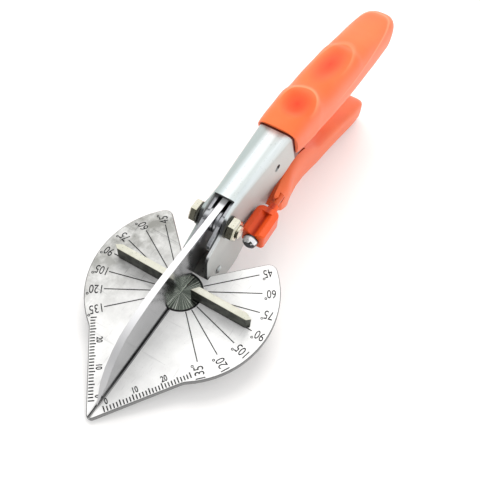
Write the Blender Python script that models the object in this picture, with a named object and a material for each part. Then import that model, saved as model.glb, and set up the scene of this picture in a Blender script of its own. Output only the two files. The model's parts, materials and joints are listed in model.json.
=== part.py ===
"""Mitre shears: a one-hand cutter whose blade closes on an angle plate.

Everything is drawn in the plate's own frame: the origin is the middle of the turntable on the
plate's top face, +X runs along the blade to the plate's tip, +Y to the right as seen by someone
holding the handles, and +Z up out of the plate. That frame hangs on one empty, which lays
the closed tool down as it lies on a bench: on the plate's tip and the end of the lower grip.
Side outlines are lists of (x, z) points, plans are lists of (x, y) points.
"""
import math

import bmesh
import bpy
from mathutils import Vector

# Angle plate, in metres
PLATE_THICKNESS = 0.0025
EDGE_ANGLE = math.radians(36.2)
TIP_RADIUS = 0.0017
LOBE_RADIUS = 0.0359
LOBE_BACK = 0.0017            # the lobes' centre lies this far behind the turntable
EDGE_INSET = 0.00223           # how far inside the lobes' circle the ruler edges' lines pass
LOBE_FILLET = 0.0070
REAR_ANGLE = math.radians(45.0)
REAR_OFFSET = 0.0038          # the rear edges run this far behind the 45 degree marks
CORNER_RADIUS = 0.0032
PLATE_EDGE_ROUND = 0.00035
GROOVE_WIDTH = 0.0010
GROOVE_DEPTH = 0.0012

# Gaps between pieces
SEAT_GAP = 0.0003
RUN_GAP = 0.0003

# Turntable and fences
DISC_RADIUS = 0.0080
DISC_SLOT_DEPTH = 0.0004
BAR_START = 0.0046
BAR_END = 0.0288
BAR_WIDTH = 0.0037
BAR_OFFSET = 0.0006           # the bars' middle lies this far behind the turntable's axis
BAR_LIFT = 0.0012
BAR_TOP = 0.0070
BAR_CHAMFER = 0.0011
BAR_EDGE = 0.0003
FOOT_LENGTH = 0.0036
FENCE_SCREW_OUT = 0.0059
FENCE_SCREW_RADIUS = 0.0007
FENCE_SCREW_HEAD = 0.0012
FENCE_SCREW_HEAD_DEPTH = 0.0008
FENCE_SCREW_GRIP = 0.0030
TURN_SCREW_RADIUS = 0.0016
TURN_SCREW_HEAD = 0.0028
TURN_SCREW_HEAD_DEPTH = 0.0016
TURN_SCREW_GRIP = 0.0014
TURN_WASHER_RADIUS = 0.0034
TURN_WASHER_THICKNESS = 0.0006

# Pivot
PIVOT_BACK = 0.0233           # behind the turntable's axis
PIVOT_UP = 0.0172
BOLT_RADIUS = 0.0024
BUSH_WALL = 0.0008
WASHER_RADIUS = 0.0044
WASHER_THICKNESS = 0.0006
HEX_ACROSS_FLATS = 0.0080
NUT_THICKNESS = 0.0030
HEAD_THICKNESS = 0.0026
BOLT_PROUD = 0.0010
HEX_CHAMFER = 0.0006

# Upper channel
SHEET = 0.0012
FRONT_HALF_WIDTH = 0.0053
REAR_HALF_WIDTH = 0.0072
FLARE_START = 0.0340
FLARE_END = 0.0680
WEB_TOP = 0.0243
WEB_FRONT = 0.0295
BEND_BACK = 0.0720
BEND_RADIUS = 0.0026
HANDLE_SLOPE = math.radians(11.1)
TANG_LENGTH = 0.0720
TANG_HEIGHT = 0.0105
CHEEK_OVER_PIVOT = 0.0048
SHOULDER_BACK = 0.0192
SHOULDER_UP = 0.0162
LEG_FRONT = 0.0096
LEG_TOP = 0.0118
CHEEK_RISE = 0.0020
CHEEK_DEPTH = 0.0198          # depth of the channel behind the finger gap
CHEEK_STEP_BACK = 0.0585      # where the diagonal edge starts
CHEEK_STEP_UP = 0.0020
CHEEK_LOW_BACK = 0.0325
CHEEK_LOW = 0.0192
CHEEK_LOW_FRONT = 0.0260
ARM_REACH = 0.0250
ARM_NOSE_DEPTH = 0.0028
ARM_DEPTH = 0.0078
CHEEK_CORNER = 0.0030
ARM_CORNER = 0.0012
CHEEK_HOLE_BACK = 0.0590
CHEEK_HOLE_UP = 0.0141
CHEEK_HOLE_RADIUS = 0.0014

# Jaw block and its fixings
JAW_BACK = 0.0215
JAW_SHORT = 0.0028            # the jaw block ends this far short of the arms
JAW_DEPTH = 0.0042
JAW_NOSE_DEPTH = 0.0024
JAW_NOSE_LENGTH = 0.0030
JAW_RIVET_RADIUS = 0.0011
JAW_RIVET_HEAD = 0.0018
JAW_RIVET_HEAD_DEPTH = 0.0007
JAW_RIVET_PLACES = (0.0145, -0.0175)
PLATE_SCREW_RADIUS = 0.0011
PLATE_SCREW_HEAD = 0.0018
PLATE_SCREW_HEAD_DEPTH = 0.0011
PLATE_SCREW_GRIP_SHARE = 0.5  # of the metal left under the groove
PLATE_SCREW_PLACES = (0.0106, 0.0184)

# Blade
BLADE_THICKNESS = 0.0024
TIP_SHORT = 0.0060            # the blade's tip lies this far behind the ruler edges' meeting point
BLADE_BACK_TOP = 0.0231
EDGE_FLAT = 0.00024
BEVEL_HEIGHT = 0.0080
EDGE_CLEARANCE = 0.0004
HEEL = 0.0010                 # the straight cutting edge ends this far ahead of the turntable's axis
BLADE_DEPTH_AT_PIVOT = 0.0060
TANG_BACK = 0.0500
BLADE_RIVET_BACK = 0.0430
BLADE_RIVET_UP = 0.0128
BLADE_RIVET_RADIUS = 0.0014
BLADE_RIVET_HEAD_DEPTH = 0.0003
SPACER_LIP = 0.0006

# Lower channel
CARRIER_FRONT = 0.0100        # ahead of the pivot
CARRIER_FLARE_START = 0.0480
CARRIER_WEB_FRONT = 0.0310
CARRIER_TOP = 0.0222
CARRIER_KNEE_BACK = 0.0400
CARRIER_KNEE_UP = 0.0040
TAIL_BACK = 0.0860
TAIL_DOWN = 0.0195
TAIL_HEIGHT = 0.0080
TAIL_SLOPE = math.radians(20.6)
TAIL_LENGTH = 0.0640
CARRIER_CORNER = 0.0040

# Spring
SPRING_BACK = 0.0575
SPRING_RADIUS = 0.0027
WIRE_RADIUS = 0.0005
SPRING_TURNS = 9
POINTS_PER_TURN = 9
SPRING_END_SHARE = 0.5        # how much closer than the middle turns the end turns lie
PEG_RADIUS = 0.0015
PEG_LENGTH = 0.0040
PEG_FLANGE_RADIUS = 0.0034
PEG_FLANGE = 0.0008
PEG_FOOT = 0.0030

# Upper grip
GRIP_HALF_WIDTH = 0.0108
GRIP_HALF_HEIGHT = 0.0135
GRIP_DROP = 0.0065            # the grip's middle lies this far below the channel's top
GRIP_START = 0.0690
GRIP_END = 0.1975
MOUTH_SLANT = 0.0080
SCOOP_ARCH = 0.0050
GRIP_SQUARENESS = 2.9

# Lower grip
LOWER_HALF_WIDTH = 0.0088
LOWER_HALF_HEIGHT = 0.0080
LOWER_END = 0.1730
MOUTH_FLARE = 0.0027          # how much wider the trough is at its front
MOUTH_FLARE_LENGTH = 0.0110
LOWER_GRIP_RISE = 0.0045      # the lower grip's middle lies this far above the channel's underside
LOWER_SQUARENESS = 4.0
TROUGH_BACK = 0.0900
CHEEK_CLEARANCE = 0.0004

# Latch
LATCH_OUT = 0.0114
LATCH_UP = 0.0027
KNOB_BACK = 0.0462
KNOB_LENGTH = 0.0143
KNOB_WIDTH = 0.0096
KNOB_HEIGHT = 0.0078
KNOB_VALLEY = 0.0019
KNOB_CORNER = 0.0028
NECK_RADIUS = 0.0021
NECK_LENGTH = 0.0038
LATCH_TRAVEL = 0.0025
ROD_RADIUS = 0.0012
ROD_GRIP = 0.0036
CAP_RADIUS = 0.0030
CAP_LENGTH = 0.0030

# Resting place
REST_TILT = math.radians(13.0)

# Facets
ROUND_SIDES = 24
SMALL_SIDES = 16
GRIP_SIDES = 28
LOBE_STEP = math.radians(4.0)
CORNER_STEP = math.radians(18.0)
OVERRUN = 0.0020
MERGE_DISTANCE = 0.000001
SIDES = (("right", 1), ("left", -1))

COLOURS = {
    "chrome": ((0.80, 0.81, 0.83, 1.0), 0.18, 1.0),
    "steel": ((0.62, 0.63, 0.65, 1.0), 0.30, 1.0),
    "plate": ((0.74, 0.74, 0.76, 1.0), 0.35, 1.0),
    "blade": ((0.70, 0.71, 0.74, 1.0), 0.16, 1.0),
    "turned": ((0.38, 0.41, 0.38, 1.0), 0.22, 1.0),
    "zinc": ((0.74, 0.71, 0.58, 1.0), 0.32, 1.0),
    "cast": ((0.55, 0.55, 0.53, 1.0), 0.45, 1.0),
    "orange": ((0.90, 0.20, 0.06, 1.0), 0.42, 0.0),
    "deep_orange": ((0.80, 0.12, 0.02, 1.0), 0.40, 0.0),
}

# The blade's nose: share of the tip's reach, share of the back's height
NOSE_SHARES = (
    (0.20, 1.0), (0.36, 0.985), (0.52, 0.935), (0.64, 0.865), (0.73, 0.74),
    (0.82, 0.56), (0.91, 0.30), (1.0, 0.0),
)

# Upper grip, front to back: share of the length, then of the half width, of the half height above
# and below the middle, and of the scoops' forward arch
GRIP_SHARES = (
    (0.000, 0.82, 0.66, 0.86, 0.0), (0.012, 0.84, 0.70, 0.92, 0.0), (0.054, 0.87, 0.78, 1.00, 0.2),
    (0.086, 0.88, 0.83, 1.00, 0.5), (0.132, 0.90, 0.89, 1.00, 0.9), (0.156, 0.92, 0.95, 1.00, 1.0),
    (0.175, 0.92, 0.95, 1.00, 1.0), (0.195, 0.90, 0.88, 1.00, 0.9), (0.226, 0.90, 0.85, 1.00, 0.7),
    (0.272, 0.93, 0.89, 0.99, 0.4), (0.335, 0.95, 0.91, 0.98, 0.3), (0.397, 0.96, 0.92, 0.98, 0.4),
    (0.459, 0.97, 0.93, 0.97, 0.8), (0.490, 0.97, 0.97, 0.97, 1.0), (0.510, 0.97, 0.97, 0.97, 1.0),
    (0.537, 0.96, 0.90, 0.96, 0.9), (0.599, 0.96, 0.88, 0.93, 0.4), (0.646, 0.95, 0.86, 0.90, 0.2),
    (0.708, 0.95, 0.83, 0.85, 0.0), (0.770, 0.94, 0.81, 0.78, 0.0), (0.833, 0.92, 0.80, 0.70, 0.0),
    (0.895, 0.83, 0.72, 0.56, 0.0), (0.942, 0.67, 0.59, 0.42, 0.0), (0.973, 0.49, 0.43, 0.30, 0.0),
    (0.992, 0.30, 0.27, 0.18, 0.0), (1.000, 0.15, 0.13, 0.09, 0.0),
)

# Lower grip, front to back: share of the length, then of the half width, of the half height above
# the middle and below it
LOWER_SHARES = (
    (0.000, 1.42, 0.95, 0.02), (0.008, 1.50, 1.04, 0.12), (0.030, 1.52, 1.10, 0.30),
    (0.062, 1.46, 1.16, 0.80), (0.090, 1.38, 1.25, 1.25), (0.125, 1.24, 1.42, 1.60),
    (0.162, 1.12, 1.60, 1.62), (0.228, 1.02, 1.74, 1.16), (0.295, 1.00, 1.66, 0.92),
    (0.377, 0.99, 1.26, 1.02), (0.452, 0.97, 0.82, 1.22), (0.540, 0.96, 0.84, 1.14),
    (0.628, 0.97, 0.85, 1.08), (0.716, 0.98, 0.84, 1.05), (0.804, 1.00, 0.82, 1.04),
    (0.883, 1.00, 0.80, 1.02), (0.941, 0.97, 0.78, 0.92), (0.980, 0.84, 0.66, 0.70),
    (1.000, 0.58, 0.42, 0.38),
)

made_materials = {}


# Outlines

def turn(vector):
    """The vector turned a quarter turn counterclockwise."""
    return Vector((-vector.y, vector.x))


def arc(centre, radius, start, end, step):
    """Points on a circle from one angle to another, both ends included."""
    count = max(1, round(abs(end - start) / step))
    angles = [start + (end - start) * i / count for i in range(count + 1)]
    return [Vector((centre[0] + radius * math.cos(a), centre[1] + radius * math.sin(a))) for a in angles]


def short_arc(centre, start_point, end_point, step):
    """The shorter arc about a centre between two points at one distance from it."""
    start = start_point - centre
    end = end_point - centre
    first = math.atan2(start.y, start.x)
    sweep = math.atan2(start.x * end.y - start.y * end.x, start.dot(end))
    return arc(centre, start.length, first, first + sweep, step)


def rounded(corners, radii):
    """A closed outline whose corners are arcs of the given radii, each limited by its two sides."""
    points = []
    count = len(corners)
    for i, corner in enumerate(corners):
        here = Vector(corner)
        back = Vector(corners[i - 1]) - here
        ahead = Vector(corners[(i + 1) % count]) - here
        half = back.angle(ahead) / 2
        reach = min(radii[i] / math.tan(half), back.length / 2, ahead.length / 2)
        if not radii[i] or math.degrees(half) > 89:
            points.append(here)
            continue
        middle = here + (back.normalized() + ahead.normalized()).normalized() * reach / math.cos(half)
        start = here + back.normalized() * reach
        points.extend(short_arc(middle, start, here + ahead.normalized() * reach, CORNER_STEP))
    return points


def shifted(path, distance):
    """An open path moved to its left by a distance, with mitred corners."""
    path = [Vector(point) for point in path]
    normals = [turn((b - a).normalized()) for a, b in zip(path, path[1:])]
    moved = [path[0] + normals[0] * distance]
    for before, after, point in zip(normals, normals[1:], path[1:]):
        moved.append(point + (before + after) * distance / (1 + before.dot(after)))
    moved.append(path[-1] + normals[-1] * distance)
    return moved


def height_on(path, x):
    """The height of an open (x, z) path at a place along it."""
    path = sorted((Vector(point) for point in path), key=lambda point: point.x)
    for a, b in zip(path, path[1:]):
        if a.x <= x <= b.x:
            return a.y + (b.y - a.y) * (x - a.x) / (b.x - a.x)
    return path[0].y if x < path[0].x else path[-1].y


def line_on_circle(point, direction, centre, radius):
    """The two distances along a line at which it crosses a circle, nearest first."""
    offset = point - centre
    along = offset.dot(direction)
    root = math.sqrt(along ** 2 - offset.length_squared + radius ** 2)
    return -along - root, -along + root


# Solids

def to_space(axis, a, b, level):
    """A point from its two outline coordinates and its level along an axis."""
    return Vector({"X": (level, a, b), "Y": (a, level, b), "Z": (a, b, level)}[axis])


def closed(bm):
    """Turn all faces of a closed solid outward."""
    bmesh.ops.recalc_face_normals(bm, faces=bm.faces)
    return bm


def prism(outline, low, high, axis):
    """An outline extruded along an axis."""
    bm = bmesh.new()
    base = bm.faces.new([bm.verts.new(to_space(axis, p[0], p[1], low)) for p in outline])
    top = bmesh.ops.extrude_face_region(bm, geom=[base])
    verts = [item for item in top["geom"] if isinstance(item, bmesh.types.BMVert)]
    bmesh.ops.translate(bm, vec=to_space(axis, 0, 0, high - low), verts=verts)
    return closed(bm)


def block(low, high):
    """A box between two corners."""
    outline = ((low[0], low[1]), (high[0], low[1]), (high[0], high[1]), (low[0], high[1]))
    return prism(outline, low[2], high[2], "Z")


def turned(profile, axis, centre=(0, 0), sides=ROUND_SIDES):
    """A (radius, level) profile spun about an axis; a profile that starts off it is a closed ring."""
    bm = bmesh.new()
    verts = [bm.verts.new(to_space(axis, radius, 0, level)) for radius, level in profile]
    edges = [bm.edges.new(pair) for pair in zip(verts, verts[1:])]
    if profile[0][0] > 0:
        edges.append(bm.edges.new((verts[-1], verts[0])))
    bmesh.ops.spin(bm, geom=verts + edges, cent=(0, 0, 0), axis=to_space(axis, 0, 0, 1),
                   angle=math.tau, steps=sides, use_merge=True)
    bmesh.ops.remove_doubles(bm, verts=bm.verts, dist=MERGE_DISTANCE)
    along = to_space(axis, 0, 0, 1)
    poles = [vert for vert in bm.verts if vert.co.cross(along).length < MERGE_DISTANCE]
    bmesh.ops.dissolve_verts(bm, verts=poles)
    bmesh.ops.translate(bm, vec=to_space(axis, centre[0], centre[1], 0), verts=bm.verts)
    return closed(bm)


def rod(radius, low, high, axis, centre=(0, 0), sides=ROUND_SIDES):
    """A plain cylinder along an axis."""
    return turned(((0, low), (radius, low), (radius, high), (0, high)), axis, centre, sides)


def ring(inner, outer, low, high, axis, centre=(0, 0), sides=ROUND_SIDES):
    """A washer or a sleeve along an axis."""
    return turned(((inner, low), (outer, low), (outer, high), (inner, high)), axis, centre, sides)


def domed(radius, low, high, axis, centre=(0, 0), sides=SMALL_SIDES):
    """A rivet or screw head, flat at its low end and rounded at its high end."""
    rise = high - low
    shares = ((1.0, 0.45), (0.86, 0.80), (0.55, 1.0))
    crown = [(radius * out_share, low + rise * up_share) for out_share, up_share in shares]
    return turned([(0, low), (radius, low)] + crown + [(0, high)], axis, centre, sides)


def hexagon(across_flats, low, high, axis, centre, chamfered_end):
    """A hexagonal prism, chamfered round one end."""
    radius = across_flats / math.sqrt(3)
    corners = arc(centre, radius, 0, math.tau, math.radians(60))[:-1]
    bm = prism(corners, low, high, axis)
    edges = [e for e in bm.edges if all(abs(v.co.y - chamfered_end) < MERGE_DISTANCE for v in e.verts)]
    bmesh.ops.bevel(bm, geom=edges, offset=HEX_CHAMFER, segments=1, affect="EDGES")
    return bm


def loft(rings):
    """Skin over rings of equal counts, closed at both ends."""
    bm = bmesh.new()
    loops = [[bm.verts.new(point) for point in ring_points] for ring_points in rings]
    for first, second in zip(loops, loops[1:]):
        for i in range(len(first)):
            bm.faces.new((first[i - 1], first[i], second[i], second[i - 1]))
    bm.faces.new(loops[0])
    bm.faces.new(loops[-1])
    return closed(bm)


def bevelled_ends(bm, axis, offset):
    """Break the long edges round both flat ends of an extruded outline."""
    index = "XYZ".index(axis)
    levels = [vert.co[index] for vert in bm.verts]
    low, high = min(levels), max(levels)

    def flat(edge, level):
        return all(abs(vert.co[index] - level) < MERGE_DISTANCE for vert in edge.verts)

    edges = [edge for edge in bm.edges if flat(edge, low) or flat(edge, high)]
    bmesh.ops.bevel(bm, geom=edges, offset=offset, segments=1, affect="EDGES")
    return bm


# Objects

def material(slot):
    """The material of a colour slot, made once."""
    if slot not in made_materials:
        colour, roughness, metallic = COLOURS[slot]
        made = bpy.data.materials.new(slot)
        made.use_nodes = True
        shader = made.node_tree.nodes["Principled BSDF"]
        shader.inputs["Base Color"].default_value = colour
        shader.inputs["Roughness"].default_value = roughness
        shader.inputs["Metallic"].default_value = metallic
        made.diffuse_color = colour
        made_materials[slot] = made
    return made_materials[slot]


def to_object(name, bm, parent):
    """A mesh object whose mesh stays in the plate's frame, whatever empty carries it."""
    mesh = bpy.data.meshes.new(name)
    bm.to_mesh(mesh)
    bm.free()
    made = bpy.data.objects.new(name, mesh)
    bpy.context.scene.collection.objects.link(made)
    made.parent = parent
    made.location = -place_of(parent)
    return made


def piece(name, bm, slot, carrier):
    """One sub-part on the empty that carries it, smooth except at its corners."""
    made = to_object(name, bm, carrier)
    own = material(slot).copy()
    own.name = name
    made.data.materials.append(own)
    made.data.shade_smooth()
    made.data.set_sharp_from_angle(angle=math.radians(35))
    return made


def change(target, name, bm, operation="DIFFERENCE"):
    """Cut a solid out of a sub-part, or join it on."""
    tool = to_object(name, bm, target)
    tool.location = (0, 0, 0)
    tool.hide_render = True
    tool.display_type = "WIRE"
    modifier = target.modifiers.new(name, "BOOLEAN")
    modifier.operation = operation
    modifier.solver = "EXACT"
    modifier.object = tool


def carrier_empty(name, place, parent):
    """An empty on a joint's axis, or the one that carries everything."""
    made = bpy.data.objects.new(name, None)
    made.empty_display_size = DISC_RADIUS
    bpy.context.scene.collection.objects.link(made)
    made.parent = parent
    made.location = Vector(place) - place_of(parent)
    made["place"] = place
    return made


def place_of(carrier):
    """Where an empty stands in the plate's frame."""
    if carrier is None or "place" not in carrier:
        return Vector((0, 0, 0))
    return Vector(carrier["place"])


# Widths and paths that several pieces share

def frame_half_width(x):
    """Half the upper channel's outer width at a place along it."""
    share = (-x - FLARE_START) / (FLARE_END - FLARE_START)
    return FRONT_HALF_WIDTH + (REAR_HALF_WIDTH - FRONT_HALF_WIDTH) * min(max(share, 0), 1)


def carrier_half_width(x):
    """Half the lower channel's outer width, which clears the upper channel as it swings."""
    share = (-x - CARRIER_FLARE_START) / (FLARE_END + SHEET - CARRIER_FLARE_START)
    narrow = FRONT_HALF_WIDTH - SHEET - RUN_GAP
    return narrow + (REAR_HALF_WIDTH - FRONT_HALF_WIDTH) * min(max(share, 0), 1)


def spread(bm, half_width, stations):
    """Push the two flat sides of an extruded outline out to a half width that changes along X."""
    for x in stations:
        geometry = list(bm.verts) + list(bm.edges) + list(bm.faces)
        bmesh.ops.bisect_plane(bm, geom=geometry, plane_co=(x, 0, 0), plane_no=(1, 0, 0))
    for vert in bm.verts:
        vert.co.y = math.copysign(half_width(vert.co.x), vert.co.y)
    return closed(bm)


def under_plate():
    """The level just below the plate on which it is seated."""
    return -PLATE_THICKNESS - SEAT_GAP


def web_path():
    """The upper channel's top line, from just ahead of its web over the bend to the tang's end."""
    bend = Vector((-BEND_BACK, WEB_TOP))
    end = bend - Vector((math.cos(HANDLE_SLOPE), math.sin(HANDLE_SLOPE))) * TANG_LENGTH
    return [Vector((SHEET - WEB_FRONT, WEB_TOP)), bend, end]


def cheek_under_path():
    """The upper channel's lower edge, from its lowest corner up the diagonal and back."""
    end = web_path()[-1]
    return [
        Vector((-CHEEK_LOW_BACK, -CHEEK_LOW)),
        Vector((-CHEEK_STEP_BACK, CHEEK_STEP_UP)),
        Vector((-BEND_BACK, WEB_TOP - CHEEK_DEPTH)),
        Vector((end.x, end.y - TANG_HEIGHT)),
    ]


def carrier_under_path():
    """The lower channel's underside, from the web's front edge to the end of its tail."""
    tail = Vector((-TAIL_BACK, -TAIL_DOWN))
    end = tail - Vector((math.cos(TAIL_SLOPE), math.sin(TAIL_SLOPE))) * TAIL_LENGTH
    flat = Vector((-FLARE_END - SHEET, -TAIL_DOWN + SHEET))
    return [
        Vector((-CARRIER_WEB_FRONT, CARRIER_KNEE_UP)),
        Vector((-CARRIER_KNEE_BACK, -CARRIER_KNEE_UP)),
        Vector((-(CARRIER_KNEE_BACK + FLARE_END) / 2, -TAIL_DOWN * 2 / 3)),
        flat,
        tail,
        end,
    ]


def grip_middle(x):
    """The middle height of the upper grip, a fixed drop below the tang's top line."""
    bend = web_path()[1]
    return bend.y + (x - bend.x) * math.tan(HANDLE_SLOPE) - GRIP_DROP


def lower_grip_middle(x):
    """The middle height of the lower grip, a fixed rise above the tail's underside."""
    return -TAIL_DOWN + (x + TAIL_BACK) * math.tan(TAIL_SLOPE) + LOWER_GRIP_RISE


def rest_height(x):
    """The height, in the plate's frame, of the bench under the closed tool."""
    tip = edge_meet() - TIP_RADIUS / math.sin(EDGE_ANGLE) + TIP_RADIUS - PLATE_EDGE_ROUND
    return -PLATE_THICKNESS + (x - tip) * math.tan(REST_TILT)


# Angle plate and jaw block

def edge_meet():
    """How far ahead of the turntable's axis the two ruler edges would meet."""
    return (LOBE_RADIUS - EDGE_INSET) / math.sin(EDGE_ANGLE) - LOBE_BACK


def blade_tip():
    """How far ahead of the turntable's axis the blade's tip lies."""
    return edge_meet() - TIP_SHORT


def plate_half_outline():
    """The plate's right half, from the tip round the lobe to the notch behind the turntable."""
    lobe = Vector((-LOBE_BACK, 0))
    along = Vector((-math.cos(EDGE_ANGLE), math.sin(EDGE_ANGLE)))
    outward = Vector((math.sin(EDGE_ANGLE), math.cos(EDGE_ANGLE)))
    meet = Vector((edge_meet(), 0))
    tip_centre = Vector((meet.x - TIP_RADIUS / math.sin(EDGE_ANGLE), 0))
    points = arc(tip_centre, TIP_RADIUS, 0, math.pi / 2 - EDGE_ANGLE, CORNER_STEP)

    reach = LOBE_RADIUS + LOBE_FILLET
    start = meet + outward * LOBE_FILLET
    fillet = start + along * line_on_circle(start, along, lobe, reach)[0]
    on_lobe = lobe + (fillet - lobe) * LOBE_RADIUS / reach
    points += short_arc(fillet, fillet - outward * LOBE_FILLET, on_lobe, LOBE_STEP)

    rear_along = Vector((-math.sin(REAR_ANGLE), math.cos(REAR_ANGLE)))
    inward = Vector((math.cos(REAR_ANGLE), math.sin(REAR_ANGLE)))
    start = inward * (CORNER_RADIUS - REAR_OFFSET)
    corner = start + rear_along * line_on_circle(start, rear_along, lobe, LOBE_RADIUS - CORNER_RADIUS)[1]
    off_lobe = lobe + (corner - lobe).normalized() * LOBE_RADIUS
    points += short_arc(lobe, on_lobe, off_lobe, LOBE_STEP)[1:]
    points += short_arc(corner, off_lobe, corner - inward * CORNER_RADIUS, CORNER_STEP)[1:]

    notch_side = FRONT_HALF_WIDTH + SEAT_GAP
    rear_point = inward * -REAR_OFFSET
    slide = (notch_side - rear_point.y) / rear_along.y
    points.append(rear_point + rear_along * slide)
    points.append(Vector((SEAT_GAP - LEG_FRONT, notch_side)))
    return points


def make_angle_plate(root):
    half = plate_half_outline()
    outline = half + [Vector((p.x, -p.y)) for p in reversed(half[1:])]
    bm = bevelled_ends(prism(outline, -PLATE_THICKNESS, 0, "Z"), "Z", PLATE_EDGE_ROUND)
    plate = piece("angle_plate", bm, "plate", root)
    low, high = -PLATE_THICKNESS - OVERRUN, OVERRUN
    change(plate, "plate_bore", rod(DISC_RADIUS + RUN_GAP, low, high, "Z"))
    side = GROOVE_WIDTH / 2
    change(plate, "plate_groove", block((0, -side, -GROOVE_DEPTH), (edge_meet(), side, OVERRUN)))
    for i, x in enumerate(PLATE_SCREW_PLACES):
        top = plate_screw_top() + SEAT_GAP
        hole = rod(PLATE_SCREW_RADIUS + SEAT_GAP, low, top, "Z", (x, 0), SMALL_SIDES)
        change(plate, "plate_thread_%d" % i, hole)


def plate_screw_top():
    """How high the plate's screws reach, in the metal left under the groove."""
    return -PLATE_THICKNESS + (PLATE_THICKNESS - GROOVE_DEPTH) * PLATE_SCREW_GRIP_SHARE


def make_jaw_block(root):
    top = under_plate()
    bottom = top - JAW_DEPTH
    nose = top - JAW_NOSE_DEPTH
    front = ARM_REACH - JAW_SHORT
    corners = (
        (-JAW_BACK, top), (front, top), (front, nose),
        (front - JAW_NOSE_LENGTH, bottom), (-JAW_BACK, bottom),
    )
    side = FRONT_HALF_WIDTH - SHEET - SEAT_GAP
    jaw = piece("jaw_block", prism(corners, -side, side, "Y"), "cast", root)
    low = bottom - OVERRUN
    change(jaw, "turn_screw_bore", rod(TURN_SCREW_RADIUS + RUN_GAP, low, 0, "Z", (0, 0), SMALL_SIDES))
    for i, x in enumerate(PLATE_SCREW_PLACES):
        head = ((0, low), (PLATE_SCREW_HEAD + SEAT_GAP, low),
                (PLATE_SCREW_HEAD + SEAT_GAP, plate_screw_seat()),
                (PLATE_SCREW_RADIUS + SEAT_GAP, plate_screw_seat()),
                (PLATE_SCREW_RADIUS + SEAT_GAP, 0), (0, 0))
        change(jaw, "plate_screw_bore_%d" % i, turned(head, "Z", (x, 0), SMALL_SIDES))
    for i, x in enumerate(JAW_RIVET_PLACES):
        wide = side + OVERRUN
        bore = rod(JAW_RIVET_RADIUS + SEAT_GAP, -wide, wide, "Y", (x, jaw_rivet_height()), SMALL_SIDES)
        change(jaw, "jaw_rivet_bore_%d" % i, bore)


def plate_screw_seat():
    """The level in the jaw block that the plate screws' heads press on."""
    return under_plate() - JAW_DEPTH + PLATE_SCREW_HEAD_DEPTH + SEAT_GAP


def jaw_rivet_height():
    return under_plate() - JAW_DEPTH / 2


def make_plate_screws(root):
    head_top = plate_screw_seat() - SEAT_GAP
    head_low = head_top - PLATE_SCREW_HEAD_DEPTH
    profile = ((0, head_low), (PLATE_SCREW_HEAD, head_low), (PLATE_SCREW_HEAD, head_top),
               (PLATE_SCREW_RADIUS, head_top), (PLATE_SCREW_RADIUS, plate_screw_top()),
               (0, plate_screw_top()))
    for i, x in enumerate(PLATE_SCREW_PLACES):
        piece("plate_screw_%d" % (i + 1), turned(profile, "Z", (x, 0), SMALL_SIDES), "steel", root)


def make_jaw_rivets(root):
    """Two rivets with a round head outside each arm."""
    seat = FRONT_HALF_WIDTH + SEAT_GAP
    end = seat + JAW_RIVET_HEAD_DEPTH
    profile = [(0, -end), (JAW_RIVET_RADIUS, -end), (JAW_RIVET_HEAD, -seat),
               (JAW_RIVET_RADIUS, -seat), (JAW_RIVET_RADIUS, seat), (JAW_RIVET_HEAD, seat),
               (JAW_RIVET_RADIUS, end), (0, end)]
    for i, x in enumerate(JAW_RIVET_PLACES):
        rivet = turned(profile, "Y", (x, jaw_rivet_height()), SMALL_SIDES)
        piece("jaw_rivet_%d" % (i + 1), rivet, "chrome", root)


# Turntable with its two fence bars

def make_turntable(spindle):
    disc = rod(DISC_RADIUS, -PLATE_THICKNESS, 0, "Z", (0, 0), ROUND_SIDES * 2)
    table = piece("turntable", disc, "turned", spindle)
    side = GROOVE_WIDTH / 2
    reach = DISC_RADIUS + OVERRUN
    change(table, "disc_slot", block((-reach, -side, -DISC_SLOT_DEPTH), (reach, side, OVERRUN)))
    top = TURN_SCREW_GRIP + SEAT_GAP - PLATE_THICKNESS
    low = -PLATE_THICKNESS - OVERRUN
    thread = rod(TURN_SCREW_RADIUS + SEAT_GAP, low, top, "Z", (0, 0), SMALL_SIDES)
    change(table, "turn_screw_thread", thread)
    seat = FENCE_SCREW_HEAD_DEPTH + SEAT_GAP - PLATE_THICKNESS
    wide, narrow = FENCE_SCREW_HEAD + SEAT_GAP, FENCE_SCREW_RADIUS + SEAT_GAP
    profile = ((0, low), (wide, low), (wide, seat), (narrow, seat), (narrow, OVERRUN), (0, OVERRUN))
    for side, sign in SIDES:
        bore = turned(profile, "Z", (-BAR_OFFSET, sign * FENCE_SCREW_OUT), SMALL_SIDES)
        change(table, "fence_screw_bore_" + side, bore)


def make_fence_bar(side, sign, spindle):
    """One bar: a foot on the turntable, then a beam held clear of the plate."""
    name = "fence_bar_" + side
    front, back = BAR_WIDTH / 2 - BAR_OFFSET, -BAR_WIDTH / 2 - BAR_OFFSET
    corners = (
        (back, BAR_START + BAR_CHAMFER), (back + BAR_CHAMFER, BAR_START),
        (front - BAR_CHAMFER, BAR_START), (front, BAR_START + BAR_CHAMFER),
        (front, BAR_END - BAR_CHAMFER), (front - BAR_CHAMFER, BAR_END),
        (back + BAR_CHAMFER, BAR_END), (back, BAR_END - BAR_CHAMFER),
    )
    outline = [(x, y * sign) for x, y in corners]
    bar = piece(name, bevelled_ends(prism(outline, SEAT_GAP, BAR_TOP, "Z"), "Z", BAR_EDGE), "zinc", spindle)
    ends = sorted((sign * (BAR_START + FOOT_LENGTH), sign * (BAR_END + OVERRUN)))
    under = block((back - OVERRUN, ends[0], -OVERRUN), (front + OVERRUN, ends[1], BAR_LIFT))
    change(bar, name + "_underside", under)
    top = FENCE_SCREW_GRIP + SEAT_GAP
    place = (-BAR_OFFSET, sign * FENCE_SCREW_OUT)
    change(bar, name + "_thread", rod(FENCE_SCREW_RADIUS + SEAT_GAP, 0, top, "Z", place, SMALL_SIDES))


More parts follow.
